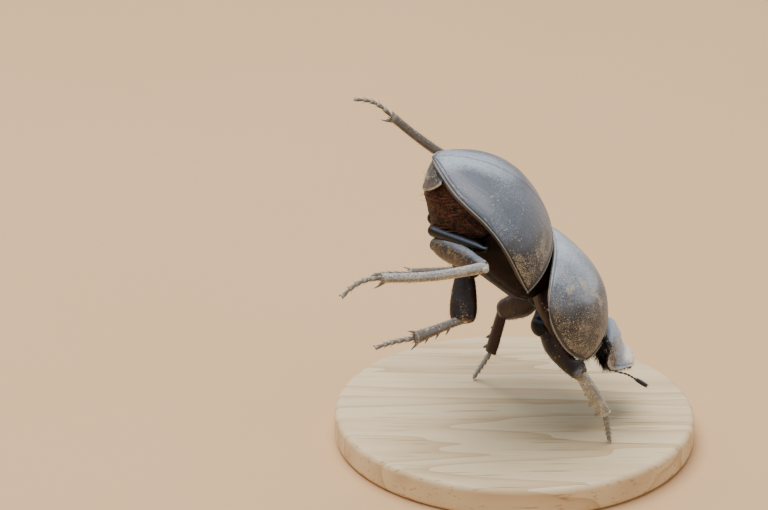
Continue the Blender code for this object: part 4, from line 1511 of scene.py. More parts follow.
@dataclass(frozen=True)
class Limb:
    """Flattened limb segment between two joints, bowed across its flat."""

    start: Vector
    end: Vector
    broad: Vector  # way that its flat is wide
    stations: Triples  # distance from the start, half width, half thickness
    bow: float = 0.0
    caps: Double = (1.0, 1.0)  # lengths of the round ends, as shares of the half width there
    guard: Callable[[Vector], Vector] | None = None  # moves points clear of a neighbour

    def axes(self) -> tuple[float, Vector, Vector, Vector]:
        """Measure the segment.

        Returns:
            Its length, and the directions along it, across its flat and through its flat.
        """
        along = (self.end - self.start).normalized()
        wide = (self.broad - along * self.broad.dot(along)).normalized()
        return (self.end - self.start).length, along, wide, along.cross(wide)

    def size(self, distance: float) -> Double:
        """Half width and half thickness at a distance."""
        wide, thin = (tuple((row[0], row[k]) for row in self.stations) for k in (1, 2))
        return through(wide, distance), through(thin, distance)

    def span(self) -> Double:
        """Distances at which its two round ends close."""
        length = self.axes()[0]
        return -self.caps[0] * self.stations[0][1], length + self.caps[1] * self.stations[-1][1]

    def at(self, distance: float, turn: float, swell: float = 1.0) -> Vector:
        """Point of its surface.

        Args:
            distance: Distance from the start joint.
            turn: Angle round it, from its broad side.
            swell: Share of its own size.

        Returns:
            The point.
        """
        length, along, wide, thin = self.axes()
        low, high = self.span()
        cap = 1.0
        if distance < 0:
            cap = sqrt(max(1 - (distance / low) ** 2, 0.0))
        elif distance > length:
            cap = sqrt(max(1 - ((distance - length) / (high - length)) ** 2, 0.0))
        half_wide, half_thin = self.size(distance)
        share = min(max(distance / length, 0.0), 1.0)
        middle = self.start + along * distance + wide * self.bow * sin(pi * share)
        return middle + round_axis(wide * half_wide, thin * half_thin, turn) * cap * swell

    def add_to(self, draft: Draft, sides: int, rows: int, relief: Relief | None = None) -> None:
        """Add its closed surface to a draft.

        Args:
            draft: Draft that gets it.
            sides: Faces round it.
            rows: Faces along it.
            relief: Height over its surface.
        """
        low, high = self.span()

        def place(u: float, v: float) -> Vector:
            """Point of the segment."""
            point = self.at(low + (high - low) * (v - 0.06 * sin(2 * pi * v)), 2 * pi * u)
            return self.guard(point) if self.guard else point

        draft.sheet(sides, rows, place, relief)


class Pair(Enum):
    """Pairs of legs."""

    FORE = "fore"
    MID = "mid"
    HIND = "hind"


@dataclass(frozen=True)
class LegPlan:
    """Joints of one leg over the base, in millimetres, and the ways that its flats face."""

    pair: Pair
    side: Side
    hip: Triple
    knee: Triple
    ankle: Triple
    toe: Triple
    thigh_broad: Triple
    shin_broad: Triple


@dataclass(frozen=True)
class LegBuild:
    """Proportions shared by the legs of one pair."""

    thigh: Triples  # distance from the joint, half width and half thickness
    shin: Triples
    coxa: tuple[Triple, Triple]  # inner and outer end of the left hip piece
    coxa_radius: float
    foot_half_width: float
    shin_bow: float = 0.0
    foot_arch: float = 0.0
    comb: float = 0.03  # height of the shin's fine cross ridges
    comb_step: float = 0.42  # their spacing
    spines: Stations = ()  # share along the shin and reach of each side spine
    spine_radius: float = 0.26
    spurs: tuple[int, ...] = (1,)  # sides of the shin's end that carry a spur
    crown: int = 9  # thin spines round the shin's end
    shin_dust: float = 0.95  # the shin's mean dust; the next two give its painted sky reflection and reddish tint
    shin_film: float = 0.9
    shin_warm: float = 0.1


BUILDS = {
    Pair.FORE: LegBuild(
        thigh=((0.0, 0.7, 0.7), (2.5, 1.6, 1.2), (5.5, 1.5, 1.1), (7.4, 1.1, 0.9), (8.1, 0.9, 0.85)),
        shin=((0.0, 0.75, 0.6), (2.0, 0.8, 0.55), (5.0, 0.85, 0.5), (6.6, 0.7, 0.45)),
        coxa=((4.4, 2.2, 16.2), (3.0, 4.3, 13.9)), coxa_radius=1.7, foot_half_width=0.45, comb=0.012,
        spines=((0.2, 0.7), (0.42, 0.95), (0.64, 1.35), (0.88, 1.35)), spine_radius=0.5, spurs=(), crown=0,
    ),
    Pair.MID: LegBuild(
        thigh=((0.0, 0.9, 0.8), (2.0, 1.35, 1.0), (5.0, 1.6, 1.05), (6.8, 1.25, 0.9), (7.7, 0.95, 0.8)),
        shin=((0.0, 0.55, 0.5), (2.5, 0.5, 0.45), (7.0, 0.75, 0.55)),
        coxa=((-4.8, 3.2, 23.0), (-6.2, 6.3, 22.8)), coxa_radius=1.4, foot_half_width=0.4, foot_arch=0.2,
        comb=0.05, spines=((0.3, 1.15), (0.52, 1.15), (0.74, 1.15)), spurs=(1, -1),
        # the mid shins are painted darker and redder than the others
        shin_dust=0.6, shin_film=0.54, shin_warm=0.5,
    ),
    Pair.HIND: LegBuild(
        thigh=((0.0, 0.9, 0.8), (2.5, 1.3, 0.95), (8.0, 1.25, 0.9), (11.5, 0.9, 0.75), (13.4, 0.8, 0.7)),
        shin=((0.0, 0.7, 0.6), (3.0, 0.62, 0.5), (9.0, 0.55, 0.45), (14.0, 0.5, 0.45)),
        coxa=((-10.6, 1.9, 25.9), (-4.8, 10.4, 27.3)), coxa_radius=1.0, foot_half_width=0.38, foot_arch=0.8,
        shin_bow=0.45, comb=0.025, comb_step=0.5,
    ),
}

PLANS = (
    LegPlan(Pair.FORE, Side.RIGHT, (3.0, -4.5, 13.7), (7.5, -9.5, 9.8), (10.9, -9.3, 3.9), (11.6, -9.2, 0.0),
            (-1.0, 0.2, -0.7), (-1.0, 0.15, 0.0)),
    LegPlan(Pair.FORE, Side.LEFT, (3.0, 4.5, 13.3), (-1.3, 8.2, 9.7), (-2.8, 7.5, 3.9), (-5.0, 7.6, 0.0),
            (0.0, 0.0, 1.0), (-1.0, 0.9, 0.0)),
    LegPlan(Pair.MID, Side.RIGHT, (-7.0, -6.4, 22.6), (-7.3, -9.5, 17.4), (-13.2, -13.5, 16.8),
            (-18.2, -15.6, 16.5), (1.0, 0.0, 0.0), (0.3, 0.0, -1.0)),
    LegPlan(Pair.MID, Side.LEFT, (-7.0, 6.4, 22.6), (-6.8, 9.5, 15.1), (-13.3, 13.5, 12.5),
            (-18.6, 15.6, 11.4), (1.0, 0.0, 0.0), (0.3, 0.0, -1.0)),
    LegPlan(Pair.HIND, Side.RIGHT, (-10.5, -2.6, 24.3), (-5.1, -13.9, 26.5), (-17.3, -17.4, 26.8),
            (-22.1, -20.1, 25.5), (0.3, 0.0, 1.0), (0.0, 0.0, -1.0)),
    LegPlan(Pair.HIND, Side.LEFT, (-10.5, 2.6, 24.3), (-4.8, 14.0, 26.8), (-16.0, 16.8, 33.9),
            (-21.0, 17.6, 36.0), (0.3, 0.0, 1.0), (0.0, 0.0, -1.0)),
)


@dataclass(frozen=True)
class HairRows:
    """Rows of bristles along one segment of a leg."""

    turns: tuple[float, ...]  # angles round it at which the rows lie
    per_mm: int  # bristles in each millimetre of a row
    spread: float  # half width of a row, as an angle
    lift: float  # how far they stand out, against 1 along the segment
    length: float
    root: float  # share of the segment's own size at which they are rooted
    strip: float  # where they start on the unwrap
    first: float = 0.0  # where the rows start, as a share of the length
    reach: float = 1.0  # how far they go on, as a share of the length


@dataclass(frozen=True)
class LegFinishes:
    """Finishes of a leg's parts."""

    glossy: Material
    thigh: Material
    dusty: Material


@dataclass(frozen=True)
class Leg:
    """One leg: hip piece, thigh, toothed shin and five-jointed foot with two claws."""

    plan: LegPlan
    finishes: LegFinishes
    hairs: Fringe
    tile: int  # which strip of the bristles' unwrap this leg takes
    shield: Pronotum

    def name(self) -> str:
        """Name that its solids share."""
        return f"{self.plan.pair.value}_{self.plan.side.name.lower()}"

    def build_of(self) -> LegBuild:
        """Proportions of its pair."""
        return BUILDS[self.plan.pair]

    def fore(self) -> bool:
        """Whether this is a front leg."""
        return self.plan.pair is Pair.FORE

    def far_front_shaded(self) -> bool:
        """Whether this is the left front leg, which is painted darker than the others as shade."""
        return self.fore() and self.plan.side is Side.LEFT

    def coxa(self) -> Limb:
        """Measure the hip piece.

        Returns:
            The segment.
        """
        build = self.build_of()
        inner, outer = (Vector((x, y * self.plan.side.value, z)) for x, y, z in build.coxa)
        radius, length = build.coxa_radius, (outer - inner).length
        broad = Vector(self.plan.knee) - Vector(self.plan.hip)
        tip, flat = (0.45, 0.85) if self.plan.pair is Pair.HIND else (0.9, 1.0)
        stations = ((0.0, radius, radius * flat), (length * 0.25, radius, radius * flat),
                    (length * 0.8, radius * 0.9, radius * 0.8), (length, radius * tip, radius * tip * flat))
        return Limb(inner, outer, broad, stations)

    def thigh(self) -> Limb:
        """Measure the thigh.

        Returns:
            The segment.
        """
        plan, guard = self.plan, self.under_shield if self.fore() else None
        return Limb(Vector(plan.hip), Vector(plan.knee), Vector(plan.thigh_broad), self.build_of().thigh,
                    caps=(1.0, 0.55), guard=guard)

    def under_shield(self, point: Vector) -> Vector:
        """Press a point down until it lies under the edge of the shield.

        Args:
            point: Point of the thigh over the base.

        Returns:
            The point, moved where the shield needs its room.
        """
        local = FORE.matrix().inverted() @ (UPRIGHT.matrix() @ point)
        out = abs(local.y) - self.shield.width(min(max(local.x, 0.0), 14.1))
        room = (1 - ease(0.15, 1.3, out)) * (1 - ease(14.2, 15.4, local.x)) * ease(2.5, 4.0, local.x)
        limit = through(self.shield.edge, local.x) - 0.5
        local.z -= max(local.z - limit, 0.0) * room
        return UPRIGHT.matrix().inverted() @ (FORE.matrix() @ local)

    def shin(self) -> Limb:
        """Measure the shin.

        Returns:
            The segment.
        """
        plan, build = self.plan, self.build_of()
        ends = Vector(plan.knee), Vector(plan.ankle)
        return Limb(*ends, Vector(plan.shin_broad), build.shin, build.shin_bow, caps=(0.9, 0.25))

    @staticmethod
    def edges(u: float, width: float) -> float:
        """Humps of a width along both narrow edges of a segment, read at u round it."""
        return ripple(min(u, 1 - u), 0.0, width) + ripple(u, 0.5, width)

    @staticmethod
    def flats(u: float, width: float) -> float:
        """Humps of a width along the middles of both flats of a segment, read at u round it."""
        return ripple(u % 0.5, 0.25, width)

    def coxa_relief(self, spot: Spot) -> float:
        """Faint grain."""
        return 0.02 * cloud(spot.place, 1.2, 3.0)

    def thigh_relief(self, spot: Spot) -> float:
        """A keel along both edges, a furrow near each end, and grain.

        Args:
            spot: The point.

        Returns:
            Height over the surface.
        """
        keel = 0.09 * self.edges(spot.u, 0.035) * ease(0.05, 0.2, spot.v)
        furrow = 0.06 * (ripple(spot.v, 0.9, 0.02) + ripple(spot.v, 0.1, 0.02))
        return keel - furrow + 0.03 * cloud(spot.place, 0.9, 5.0) + 0.02 * cloud(spot.place, 0.4)

    def shin_relief(self, spot: Spot) -> float:
        """Fine cross ridges, keels along both edges, and a collar at the end.

        Args:
            spot: The point.

        Returns:
            Height over the surface.
        """
        build, shin, v = self.build_of(), self.shin(), spot.v
        distance = (spot.place - shin.start).dot(shin.axes()[1])
        wave = (distance / build.comb_step + 0.3 * cloud(spot.place, 1.5, 2.0)) % 1.0
        ridge = build.comb * (wave - 0.5) * ease(0.06, 0.16, v) * (1 - ease(0.9, 0.95, v))
        keel = (0.07 * self.edges(spot.u, 0.05) + 0.04 * self.flats(spot.u, 0.06)) * ease(0.05, 0.15, v)
        return ridge + keel + 0.07 * ripple(v, 0.94, 0.025) + 0.02 * cloud(spot.place, 0.35, 1.0)

    def coxa_paint(self, spot: Spot) -> Coat:
        """Polished, barely dusty, with a painted blue-grey highlight stripe on its upper near side."""
        # painted highlight stripe where the surface faces up and towards the camera, away from the ends
        stripe = ripple(spot.normal.z, 0.72, 0.13) * ease(0.1, -0.3, spot.normal.y) * ease(0.06, 0.2, spot.v)
        return 0.8 * stripe, 0.2 * cloud(spot.place, 1.5, 2.0), 0.0, 0.05

    def thigh_paint(self, spot: Spot) -> Coat:
        """Painted sky reflection on top, tan soil streaks, painted shade at the hind thighs' dark reddish
        knee end.

        Args:
            spot: The point.

        Returns:
            The coat there.
        """
        streak = cloud(Vector((spot.place.x, spot.place.y, spot.place.z * 0.4)), 1.3, 8.0)
        knee = ripple(spot.v, 0.97, 0.06)
        warm = 0.3 + 0.5 * cloud(spot.place, 1.8, 3.0)
        if self.plan.pair is Pair.HIND:
            # hind thigh: painted sky reflection on top, and less dust towards the knee end, leaving it dark
            # as painted shade
            top = sky(spot.normal, 0.45, 0.95)
            dust = 0.75 + 0.7 * streak - 0.6 * ease(0.75, 0.95, spot.v) - 0.3 * top
            return 0.85 * top, dust, 0.3 * knee, warm * (1 - top)
        dust = 0.32 + 0.8 * streak + 0.4 * ease(0.8, 0.9, spot.v)
        # painted sky reflection where the thigh faces up
        sky_reflection, patch = 0.4 * sky(spot.normal, 0.25, 1.0), 0.0
        if self.fore():
            # fore thigh: a painted blue-grey highlight spot near the knee, bare of dust and reddish tint
            patch = ripple(spot.v, 0.9, 0.045) * self.flats(spot.u, 0.1)
            dust += 0.5 * ripple(spot.v, 0.9, 0.09) - patch
            sky_reflection = 0.15 * sky(spot.normal, 0.25, 1.0) + 0.75 * patch
        # far front thigh: less dust and more reddish tint as painted shade, with more painted sky reflection
        # on top
        if self.far_front_shaded():
            sky_reflection += 0.6 * sky(spot.normal, 0.2, 0.85)
            dust *= 0.55
            warm += 0.35
        return sky_reflection, dust, 0.2 * knee, warm - patch

    def shin_paint(self, spot: Spot) -> Coat:
        """Soil-coloured, with dark teeth, pale knee knobs and painted sky reflection, highlights and shade.

        Args:
            spot: The point.

        Returns:
            The coat there.
        """
        if spot.kind == Part.SPINE.value:
            # spines: painted sky reflection where they face up
            bare = 0.3 if self.fore() else 1.0
            return 0.5 * sky(spot.normal), (1 - 0.5 * bare) * (1 - 0.7 * spot.v), 0.0, 0.35 * bare
        if spot.kind == Part.KNOB.value:
            # knobs: those of the mid and hind knees are pale from dust, a pale edge and painted sky
            # reflection
            return (0.25, 0.5, 0.0, 0.5) if self.fore() else (0.8, 0.6, 0.3, 0.0)
        build = self.build_of()
        dust = build.shin_dust + 0.45 * cloud(spot.place, 1.6, 3.0)
        # painted sky reflection where the shin faces up
        sky_reflection_share = build.shin_film * sky(spot.normal, -0.3, 0.6)
        warm = build.shin_warm
        # far-side front and hind shins: less dust and painted sky reflection, more reddish tint, as painted
        # shade
        if self.plan.side is Side.LEFT and self.plan.pair is not Pair.MID:
            dust, sky_reflection_share, warm = dust - 0.6, sky_reflection_share * 0.3, warm + 0.5
        bare = 0.0
        if self.fore():
            # bare spots near the fore knee, where the painted sky reflection shows as a painted highlight
            dust -= 1.2 * ripple(spot.v, 0.19, 0.055) * self.flats(spot.u, 0.11)
            # the far front shin darker still, as painted shade
            dust -= 0.2 if self.far_front_shaded() else 0.0
            bare = 1 - ease(-0.75, 0.0, spot.normal.y * self.plan.side.value)
        edge = 0.2 * ripple(spot.v, 0.94, 0.03)
        return sky_reflection_share * (1 - 0.9 * bare), dust * (1 - 0.8 * bare), edge, max(warm, 0.85 * bare)

    def foot_paint(self, spot: Spot) -> Coat:
        """Greyish joints from dust and painted sky reflection, dark gaps between them, dark claws.

        Args:
            spot: The point.

        Returns:
            The coat there.
        """
        if spot.kind == Part.SPINE.value:
            return 0.1, 0.1, 0.0, 0.5
        collar = ease(0.55, 0.85, spot.v)
        dust = 0.5 + 0.5 * cloud(spot.place, 0.7, 2.0)
        bare = 0.25 if self.fore() else 0.6
        # painted sky reflection where the joints face up
        sky_reflection_share = 0.9 * sky(spot.normal, -0.1, 0.7) * (1 - 0.5 * bare)
        return sky_reflection_share, dust * (0.4 + 0.6 * collar), 0.25 * collar, bare * (1 - 0.5 * collar)

    def build(self) -> None:
        """Model and dress the leg's four pieces, and grow its bristles."""
        name, finishes = self.name(), self.finishes
        coxa = Draft()
        self.coxa().add_to(coxa, 36, 44, self.coxa_relief)
        coxa.piece(name + "_hip_piece", UPRIGHT, Slot.GLOSSY, finishes.glossy, (name + "_coxa",),
                   self.coxa_paint)

        thigh = Draft()
        self.thigh().add_to(thigh, 72, 110, self.thigh_relief)
        thigh.piece(name + "_thigh", UPRIGHT, Slot.LEG, finishes.thigh, (name + "_femur",), self.thigh_paint)

        shin, draft = self.shin(), Draft()
        shin.add_to(draft, 60, 170, self.shin_relief)
        self.add_knobs(draft, shin)
        self.add_teeth(draft, shin)
        # the far front shin takes the darker thigh finish, as painted shade
        finish = finishes.thigh if self.far_front_shaded() else finishes.dusty
        draft.piece(name + "_shin", UPRIGHT, Slot.DUSTY, finish, (name + "_tibia",), self.shin_paint)
        self.build_foot()
        self.grow_hairs()

    def add_knobs(self, draft: Draft, shin: Limb) -> None:
        """Round knobs of the knee, on both flats of the shin.

        Args:
            draft: Draft of the shin.
            shin: The shin itself.
        """
        _, along, _, thin = shin.axes()
        size = Vector((0.42, 0.42, 0.14 if self.fore() else 0.3))
        out = self.build_of().shin[0][2] + 0.05
        for sign in (-1, 1):
            knob = shin.start + thin * sign * out - along * 0.05
            draft.ball(knob, size, thin.to_track_quat("Z", "X").to_matrix(), Part.KNOB, rings=12)

    def add_teeth(self, draft: Draft, shin: Limb) -> None:
        """Teeth of a fore shin, or spines and spurs of the others.

        Args:
            draft: Draft of the shin.
            shin: The shin itself.
        """
        build = self.build_of()
        length, along, wide, thin = shin.axes()
        lean = 0.6 if self.fore() else 0.8
        for share, reach in build.spines:
            root = shin.start + along * length * share + wide * 0.3
            tip = root + (wide + along * lean).normalized() * reach
            draft.spike(root, tip, build.spine_radius, along * -0.1)
        for sign in build.spurs:
            root = shin.end - along * 0.6 + wide * sign * 0.3
            draft.spike(root, root + (along + wide * sign * 0.6).normalized() * 1.9, 0.26, wide * sign * 0.14)
        for k in range(build.crown):
            turn = 2 * pi * k / build.crown
            root = shin.at(length - 0.25, turn, 0.8)
            way = (along + round_axis(wide, thin, turn) * 0.45).normalized()
            draft.spike(root, root + way * 0.75, 0.12, sides=6)

    def foot_joints(self) -> list[Vector]:
        """Lay out the foot.

        Returns:
            Ends of its five joints, from the ankle to the toe.
        """
        ankle, toe = Vector(self.plan.ankle), Vector(self.plan.toe)
        along = (toe - ankle).normalized()
        lift = along.cross(UP).normalized().cross(along) * self.build_of().foot_arch
        return [ankle.lerp(toe, share) + lift * sin(pi * share) for share in (0, 0.24, 0.43, 0.60, 0.76, 1.0)]

    def build_foot(self) -> None:
        """Model and dress the foot."""
        name, width = self.name(), self.build_of().foot_half_width
        joints, draft = self.foot_joints(), Draft()
        for start, end, share in zip(joints, joints[1:], (1.0, 0.98, 0.92, 0.86, 0.8)):
            if end is joints[-1]:
                end = start.lerp(end, 0.86)
            length, size = (end - start).length, width * share
            stations = ((0.0, size * 0.5, size * 0.42), (length * 0.35, size * 0.72, size * 0.62),
                        (length * 0.82, size, size * 0.85), (length, size * 0.9, size * 0.75))
            Limb(start, end, (end - start).cross(UP), stations, caps=(0.4, 0.35)).add_to(draft, 28, 26)
        tail = joints[-2].lerp(joints[-1], 0.82)
        along = (joints[-1] - joints[-2]).normalized()
        side = along.cross(UP).normalized()
        over = side.cross(along)
        for sign in (-1, 1):
            tip = joints[-1] + side * sign * width * 1.1 - over * 0.12
            draft.spike(tail + side * sign * width * 0.35, tip, 0.15, over * 0.16 + side * sign * 0.1)
        nodes = (name + "_tarsus",)
        draft.piece(name + "_foot_joints", UPRIGHT, Slot.DUSTY, self.finishes.dusty, nodes, self.foot_paint)

    def spot(self, share: float, turn: float) -> Double:
        """Place on the bristles' unwrap: this leg's strip, with u along it and v round it."""
        return share, (self.tile + (turn / (2 * pi)) % 1.0) / len(PLANS)

    def grow_rows(self, limb: Limb, rows: HairRows) -> None:
        """Bristles in rows along one segment.

        Args:
            limb: The segment.
            rows: Its rows.
        """
        pick = self.hairs.random
        length, along, wide, thin = limb.axes()
        count = int(length * rows.per_mm)
        for turn in rows.turns:
            for k in range(count):
                share = rows.first + rows.reach * (k + pick.random()) / count
                angle = turn + pick.uniform(-rows.spread, rows.spread)
                way = round_axis(wide, thin, angle) * rows.lift + along
                spot = self.spot(rows.strip + 0.4 * share, angle)
                self.hairs.grow(limb.at(length * share, angle, rows.root), way, rows.length, 0.02, spot)

    def grow_hairs(self) -> None:
        """Bristles in rows along the shin and the thigh, and tufts under the foot's joints."""
        sides = (0.75 * pi, -0.75 * pi)
        turns = (pi, *sides) if self.fore() else (0.0, pi, 0.42 * pi, -0.42 * pi, *sides)
        tall = 0.45 if self.fore() else 0.6
        self.grow_rows(self.shin(), HairRows(turns, 4, 0.14, 0.6, tall, root=0.95, strip=0.4))
        self.grow_rows(self.thigh(), HairRows((0.0, pi), 5, 0.2, 0.8, 0.6, root=0.97, strip=0.0, first=0.12,
                                              reach=0.83))
        joints, tuft = self.foot_joints(), 14
        for index, (start, end) in enumerate(zip(joints[:-1], joints[1:-1])):
            way = (end - start).normalized()
            side = way.cross(UP).normalized()
            for k in range(tuft):
                angle = 2 * pi * k / tuft
                out = round_axis(side, side.cross(way), angle)
                root = end + out * self.build_of().foot_half_width * 0.7 - way * 0.12
                spot = self.spot(0.82 + 0.04 * index, angle)
                self.hairs.grow(root, way + out * 0.7, 0.45, 0.018, spot, 0.15)


# --- Base, body bristles and setting ---


@dataclass(frozen=True)
class Base:
    """Oval display plate with rounded rims."""

    finish: Material
    half_length: float = 23.5
    half_width: float = 21.0
    thickness: float = 4.0
    rounding: float = 0.8

    def build(self) -> None:
        """Model and dress the plate."""
        draft = Draft()
        middle = Matrix.Translation((0.0, 0.0, self.thickness / 2))
        bmesh.ops.create_cone(draft.bm, cap_ends=True, segments=180, radius1=self.half_length,
                              radius2=self.half_length, depth=self.thickness, matrix=middle)
        bmesh.ops.scale(draft.bm, verts=draft.bm.verts, vec=(1.0, self.half_width / self.half_length, 1.0))
        rims = [edge for edge in draft.bm.edges if edge.verts[0].co.z == edge.verts[1].co.z]
        bmesh.ops.bevel(draft.bm, geom=rims, offset=self.rounding, segments=8, affect="EDGES", profile=0.5,
                        material=-1)
        draft.piece("oval_base", Pose((0.0, 0.0, 0.0)), Slot.BASE, self.finish, ("stand_base",))


@dataclass(frozen=True)
class BodyHair:
    """Bristles of the body: on the belly plates, round the shield, in the neck and at the mouth."""

    brown: Material
    reddish: Material
    black: Material
    form: HindForm
    shield: Pronotum
    head: HeadShield
    belly_count: int = 760  # bristles on each side
    margin_count: int = 330
    neck_count: int = 2100
    cheek_count: int = 1100
    rim_count: int = 260
    mouth_count: int = 160  # bristles round the mouth in all

    def belly(self) -> Fringe:
        """Reddish bristles that cross over the sides of the belly.

        Returns:
            The region's bristles.
        """
        fringe = Fringe("belly_bristles", HIND, 11)
        pick = fringe.random
        for side in (-1, 1):
            for k in range(self.belly_count):
                x, reach = pick.uniform(-0.6, 6.0), pick.uniform(0.01, 0.17)
                turn = 0.5 + reach if side > 0 else 1.0 - reach
                root = self.form.body(x, turn)
                root.y += side * 0.05
                length, radius = (0.9, 0.018) if k % 6 else (1.7, 0.026)
                way = Vector((-1.0, side * 0.3, pick.choice((-0.9, 0.6, 0.2))))
                fringe.grow(root, way, length, radius, ((x + 0.6) / 6.6, turn), 0.3)
        return fringe

    def breast(self) -> Fringe:
        """Bristles under the shield's side margins.

        Returns:
            The region's bristles.
        """
        fringe = Fringe("shield_bristles", FORE, 12)
        pick = fringe.random
        for side in (-1, 1):
            for k in range(self.margin_count):
                v = (k + pick.random()) / self.margin_count
                u = 0.5 + side * pick.uniform(0.487, 0.498)
                root = self.shield.place(u, v)
                fringe.grow(root, Vector((0.25, side * 0.5, -1.0)), 0.7, 0.02, (u, v))
        return fringe

    def neck(self) -> Fringe:
        """Thick black bristles that fill the gap between the shield and the head, and under the cheeks.

        Returns:
            The region's bristles.
        """
        fringe = Fringe("neck_bristles", HEAD, 14)
        pick = fringe.random
        for side in (-1, 1):
            for _ in range(self.neck_count):
                across, down = pick.uniform(0.3, 1.0), pick.random()
                root = Vector((pick.uniform(-1.0, 0.6), side * 4.6 * across, -0.9 - 2.9 * down))
                way = Vector((1.0, side * 0.3, -0.15 - 0.45 * down))
                fringe.grow(root, way, 2.2, 0.035, (across, 0.5 + 0.2 * side + 0.1 * down), 0.25)
            for _ in range(self.cheek_count):
                x, down = pick.uniform(2.2, 4.5), pick.random()
                root = Vector((x, side * 2.2, -2.3 - 0.8 * down))
                way = Vector((0.35, side * 1.0, 0.25 - 0.3 * down))
                fringe.grow(root, way, 1.9, 0.035, (x / 9, 0.5 + 0.2 * side + 0.1 * down), 0.25)
        return fringe

    def face(self) -> Fringe:
        """Bristles under the head's rim and round the mouth.

        Returns:
            The region's bristles.
        """
        fringe = Fringe("head_bristles", HEAD, 13)
        pick = fringe.random
        for edge, low, high in ((0.515, -0.01, 0.012), (0.985, -0.012, 0.01)):
            for k in range(self.rim_count):
                v = 0.08 + 0.9 * (k + pick.random()) / self.rim_count
                u = edge + pick.uniform(low, high)
                root = self.head.place(u, v)
                outward = Vector((0.3, 0.4 if root.y > 0 else -0.4, -1.0))
                fringe.grow(root, outward, 0.55, 0.02, (u, v))
        for k in range(self.mouth_count):
            angle = 2 * pi * (k + pick.random()) / self.mouth_count
            along, across = cos(angle), sin(angle)
            root = Vector((3.2 + 1.1 * along, 1.35 * across, -3.1))
            spot = (0.5 + 0.05 * along, 0.75 + 0.05 * across)
            fringe.grow(root, Vector((0.5 * along + 0.4, 0.4 * across, -0.8)), 0.5, 0.02, spot)
        return fringe

    def build(self) -> None:
        """Join and dress the four regions."""
        self.belly().build(Slot.BELLY, self.reddish)
        self.neck().build(Slot.LEG, self.black)
        for fringe in (self.breast(), self.face()):
            fringe.build(Slot.LEG, self.brown)


@dataclass(frozen=True)
class Studio:
    """Pale floor, soft overhead light and the camera."""

    floor: Material
    aim: Triple = (-0.01703, 0.0, 0.02598)
    distance: float = 0.27006
    elevation: float = 25.0
    lens: float = 100.0
    lamp_place: Triple = (-0.08, 0.06, 0.5)
    lamp_size: float = 0.4
    lamp_power: float = 4.2  # watts

    def build(self) -> None:
        """Set up floor, lights and camera."""
        scene = bpy.context.scene
        ground = bmesh.new()
        bmesh.ops.create_grid(ground, x_segments=1, y_segments=1, size=2.0)
        mesh = bpy.data.meshes.new("floor")
        ground.to_mesh(mesh)
        ground.free()
        mesh.materials.append(self.floor)
        floor = bpy.data.objects.new("floor", mesh)
        scene.collection.objects.link(floor)

        world = bpy.data.worlds.new("Soft sky")
        world.use_nodes = True
        light = world.node_tree.nodes["Background"].inputs
        light["Color"].default_value = tone("#dde5ee")
        light["Strength"].default_value = 0.75
        scene.world = world

        lamp = bpy.data.lights.new("Overhead", "AREA")
        lamp.size = self.lamp_size
        lamp.energy = self.lamp_power
        lamp.color = tone("#f7f9ff")[:3]
        overhead = bpy.data.objects.new("Overhead", lamp)
        overhead.location = self.lamp_place
        down = Vector(self.aim) - overhead.location
        overhead.rotation_euler = down.to_track_quat("-Z", "Y").to_euler()
        scene.collection.objects.link(overhead)

        eye = bpy.data.cameras.new("Camera")
        eye.lens = self.lens
        eye.sensor_width = 36.0
        eye.clip_start = 0.01
        eye.clip_end = 10.0
        camera = bpy.data.objects.new("Camera", eye)
        tilt = radians(self.elevation)
        camera.location = Vector(self.aim) + Vector((0.0, -cos(tilt), sin(tilt))) * self.distance
        camera.rotation_euler = (pi / 2 - tilt, 0.0, 0.0)
        scene.collection.objects.link(camera)
        scene.camera = camera


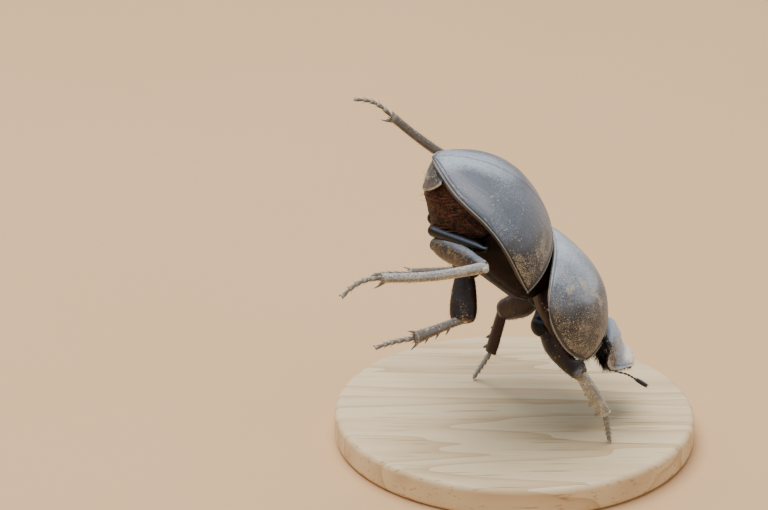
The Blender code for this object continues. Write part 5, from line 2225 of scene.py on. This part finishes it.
def main() -> None:
    """Build the beetle, its base and its setting."""
    logging.basicConfig(level=logging.INFO, format="%(name)s %(message)s")
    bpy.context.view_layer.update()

    # Shell plates: near-black, with a painted blue-grey sky reflection and tan soil.
    case = Cuticle("Blue-grey waxed shell", "#15100d", "#666b73", "#c6ced4", "#ae9b7d", "#d0c2a7", "#160805",
                   patch=1.0, grain=0.2, sheen=0.2).material()
    # Head: the same with a paler painted sky reflection, and a cream front lobe.
    head = Cuticle("Pale waxed head shell", "#1a1412", "#8d939a", "#bac2c8", "#b4a488", "#f0e2c8", "#5a3a2c",
                   patch=0.7, grain=0.2).material()
    # Underside: brown-black and dull, reddish where it is thin.
    belly = Cuticle("Dark belly shell", "#0f0806", "#3b3a40", "#5a5c66", "#7d6a50", "#96846a", "#522619",
                    roughness=0.5, sheen=0.0, gloss=0.12, pit=0.45, patch=1.1).material()
    # Hip pieces: rubbed smooth, with a painted blue-grey highlight.
    glossy = Cuticle("Polished hip shell", "#040303", "#626a76", "#8a93a0", "#8d7c63", "#a09078", "#1c0c08",
                     roughness=0.28, sheen=0.0, gloss=0.2, dusty=0.3, pit=0.6, pit_depth=0.003).material()
    # Thighs: black to reddish-brown, with a soft shine, painted sky reflection and streaks of soil.
    thigh = Cuticle("Waxed thigh shell", "#100a07", "#70747a", "#a5afb8", "#84683c", "#a68d62", "#35190b",
                    roughness=0.32, sheen=0.05, gloss=0.3, patch=1.0).material()
    # Shins and feet: matt and sand-coloured, as dry soil covers them.
    dusty = Cuticle("Soil-coated shin shell", "#94876f", "#a2a29e", "#c0c1bb", "#d6c7ab", "#e6dac4",
                    "#2c1a12", roughness=0.65, gloss=0.3, patch=0.8, grain=0.2).material()
    # Feelers: dark brown and barely shining.
    horn = Cuticle("Feeler shell", "#120b0a", "#4a4a52", "#6a6a72", "#8a7a66", "#a89c88", "#3a1f16",
                   sheen=0.1, patch=0.5).material()
    # Hairs: brown, reddish on the belly and near-black in the neck, each paler at its tip.
    brown = Bristle("Brown bristles", "#180b07", "#5e3522").material()
    reddish = Bristle("Reddish bristles", "#43190c", "#a06a4a").material()
    black = Bristle("Black neck bristles", "#070504", "#120c0a").material()
    # Eyes: black, with a wet shine.
    lens = Lens("Black compound eye", "#17100e", "#050405").material()
    # Base: pale and calm, with darker rings and open pores.
    wood = LimedWood("Limed ash", "#e4c99c", "#c19d6c", "#957242").material()

    form, shield, face = HindForm(), Pronotum(case), HeadShield(head)
    Base(wood).build()
    for side in Side:
        WingCase(side, case, form).build()
    HindBody(belly, case, form).build()
    shield.build()
    Prothorax(belly, shield).build()
    face.build()
    for side in Side:
        Eye(side, lens).build()
    Mouth(belly).build()
    Antenna("antenna_right", horn, (
        (10.8, -3.0, 7.6), (11.9, -3.9, 6.9), (13.1, -4.9, 7.5), (14.0, -5.05, 7.25), (14.9, -5.0, 6.65),
        (15.8, -4.8, 5.9), (16.7, -4.6, 5.3),
    )).build()
    Antenna("antenna_left", horn, (
        (10.8, 3.0, 7.6), (11.4, 3.6, 7.1), (11.9, 4.1, 6.6), (12.3, 4.4, 6.1), (12.6, 4.5, 5.6),
        (12.8, 4.4, 5.0), (12.9, 4.2, 4.4),
    )).build()

    fringe = Fringe("leg_bristles", UPRIGHT, 10)
    finishes = LegFinishes(glossy, thigh, dusty)
    for tile, plan in enumerate(PLANS):
        Leg(plan, finishes, fringe, tile, shield).build()
    fringe.build(Slot.LEG, brown)
    BodyHair(brown, reddish, black, form, shield, face).build()
    # Floor: warm, even and without shine, so that the model stands out.
    Studio(Plain("Pale sand floor", "#dbb180", "#d2a776").material()).build()


if __name__ == "__main__":
    main()
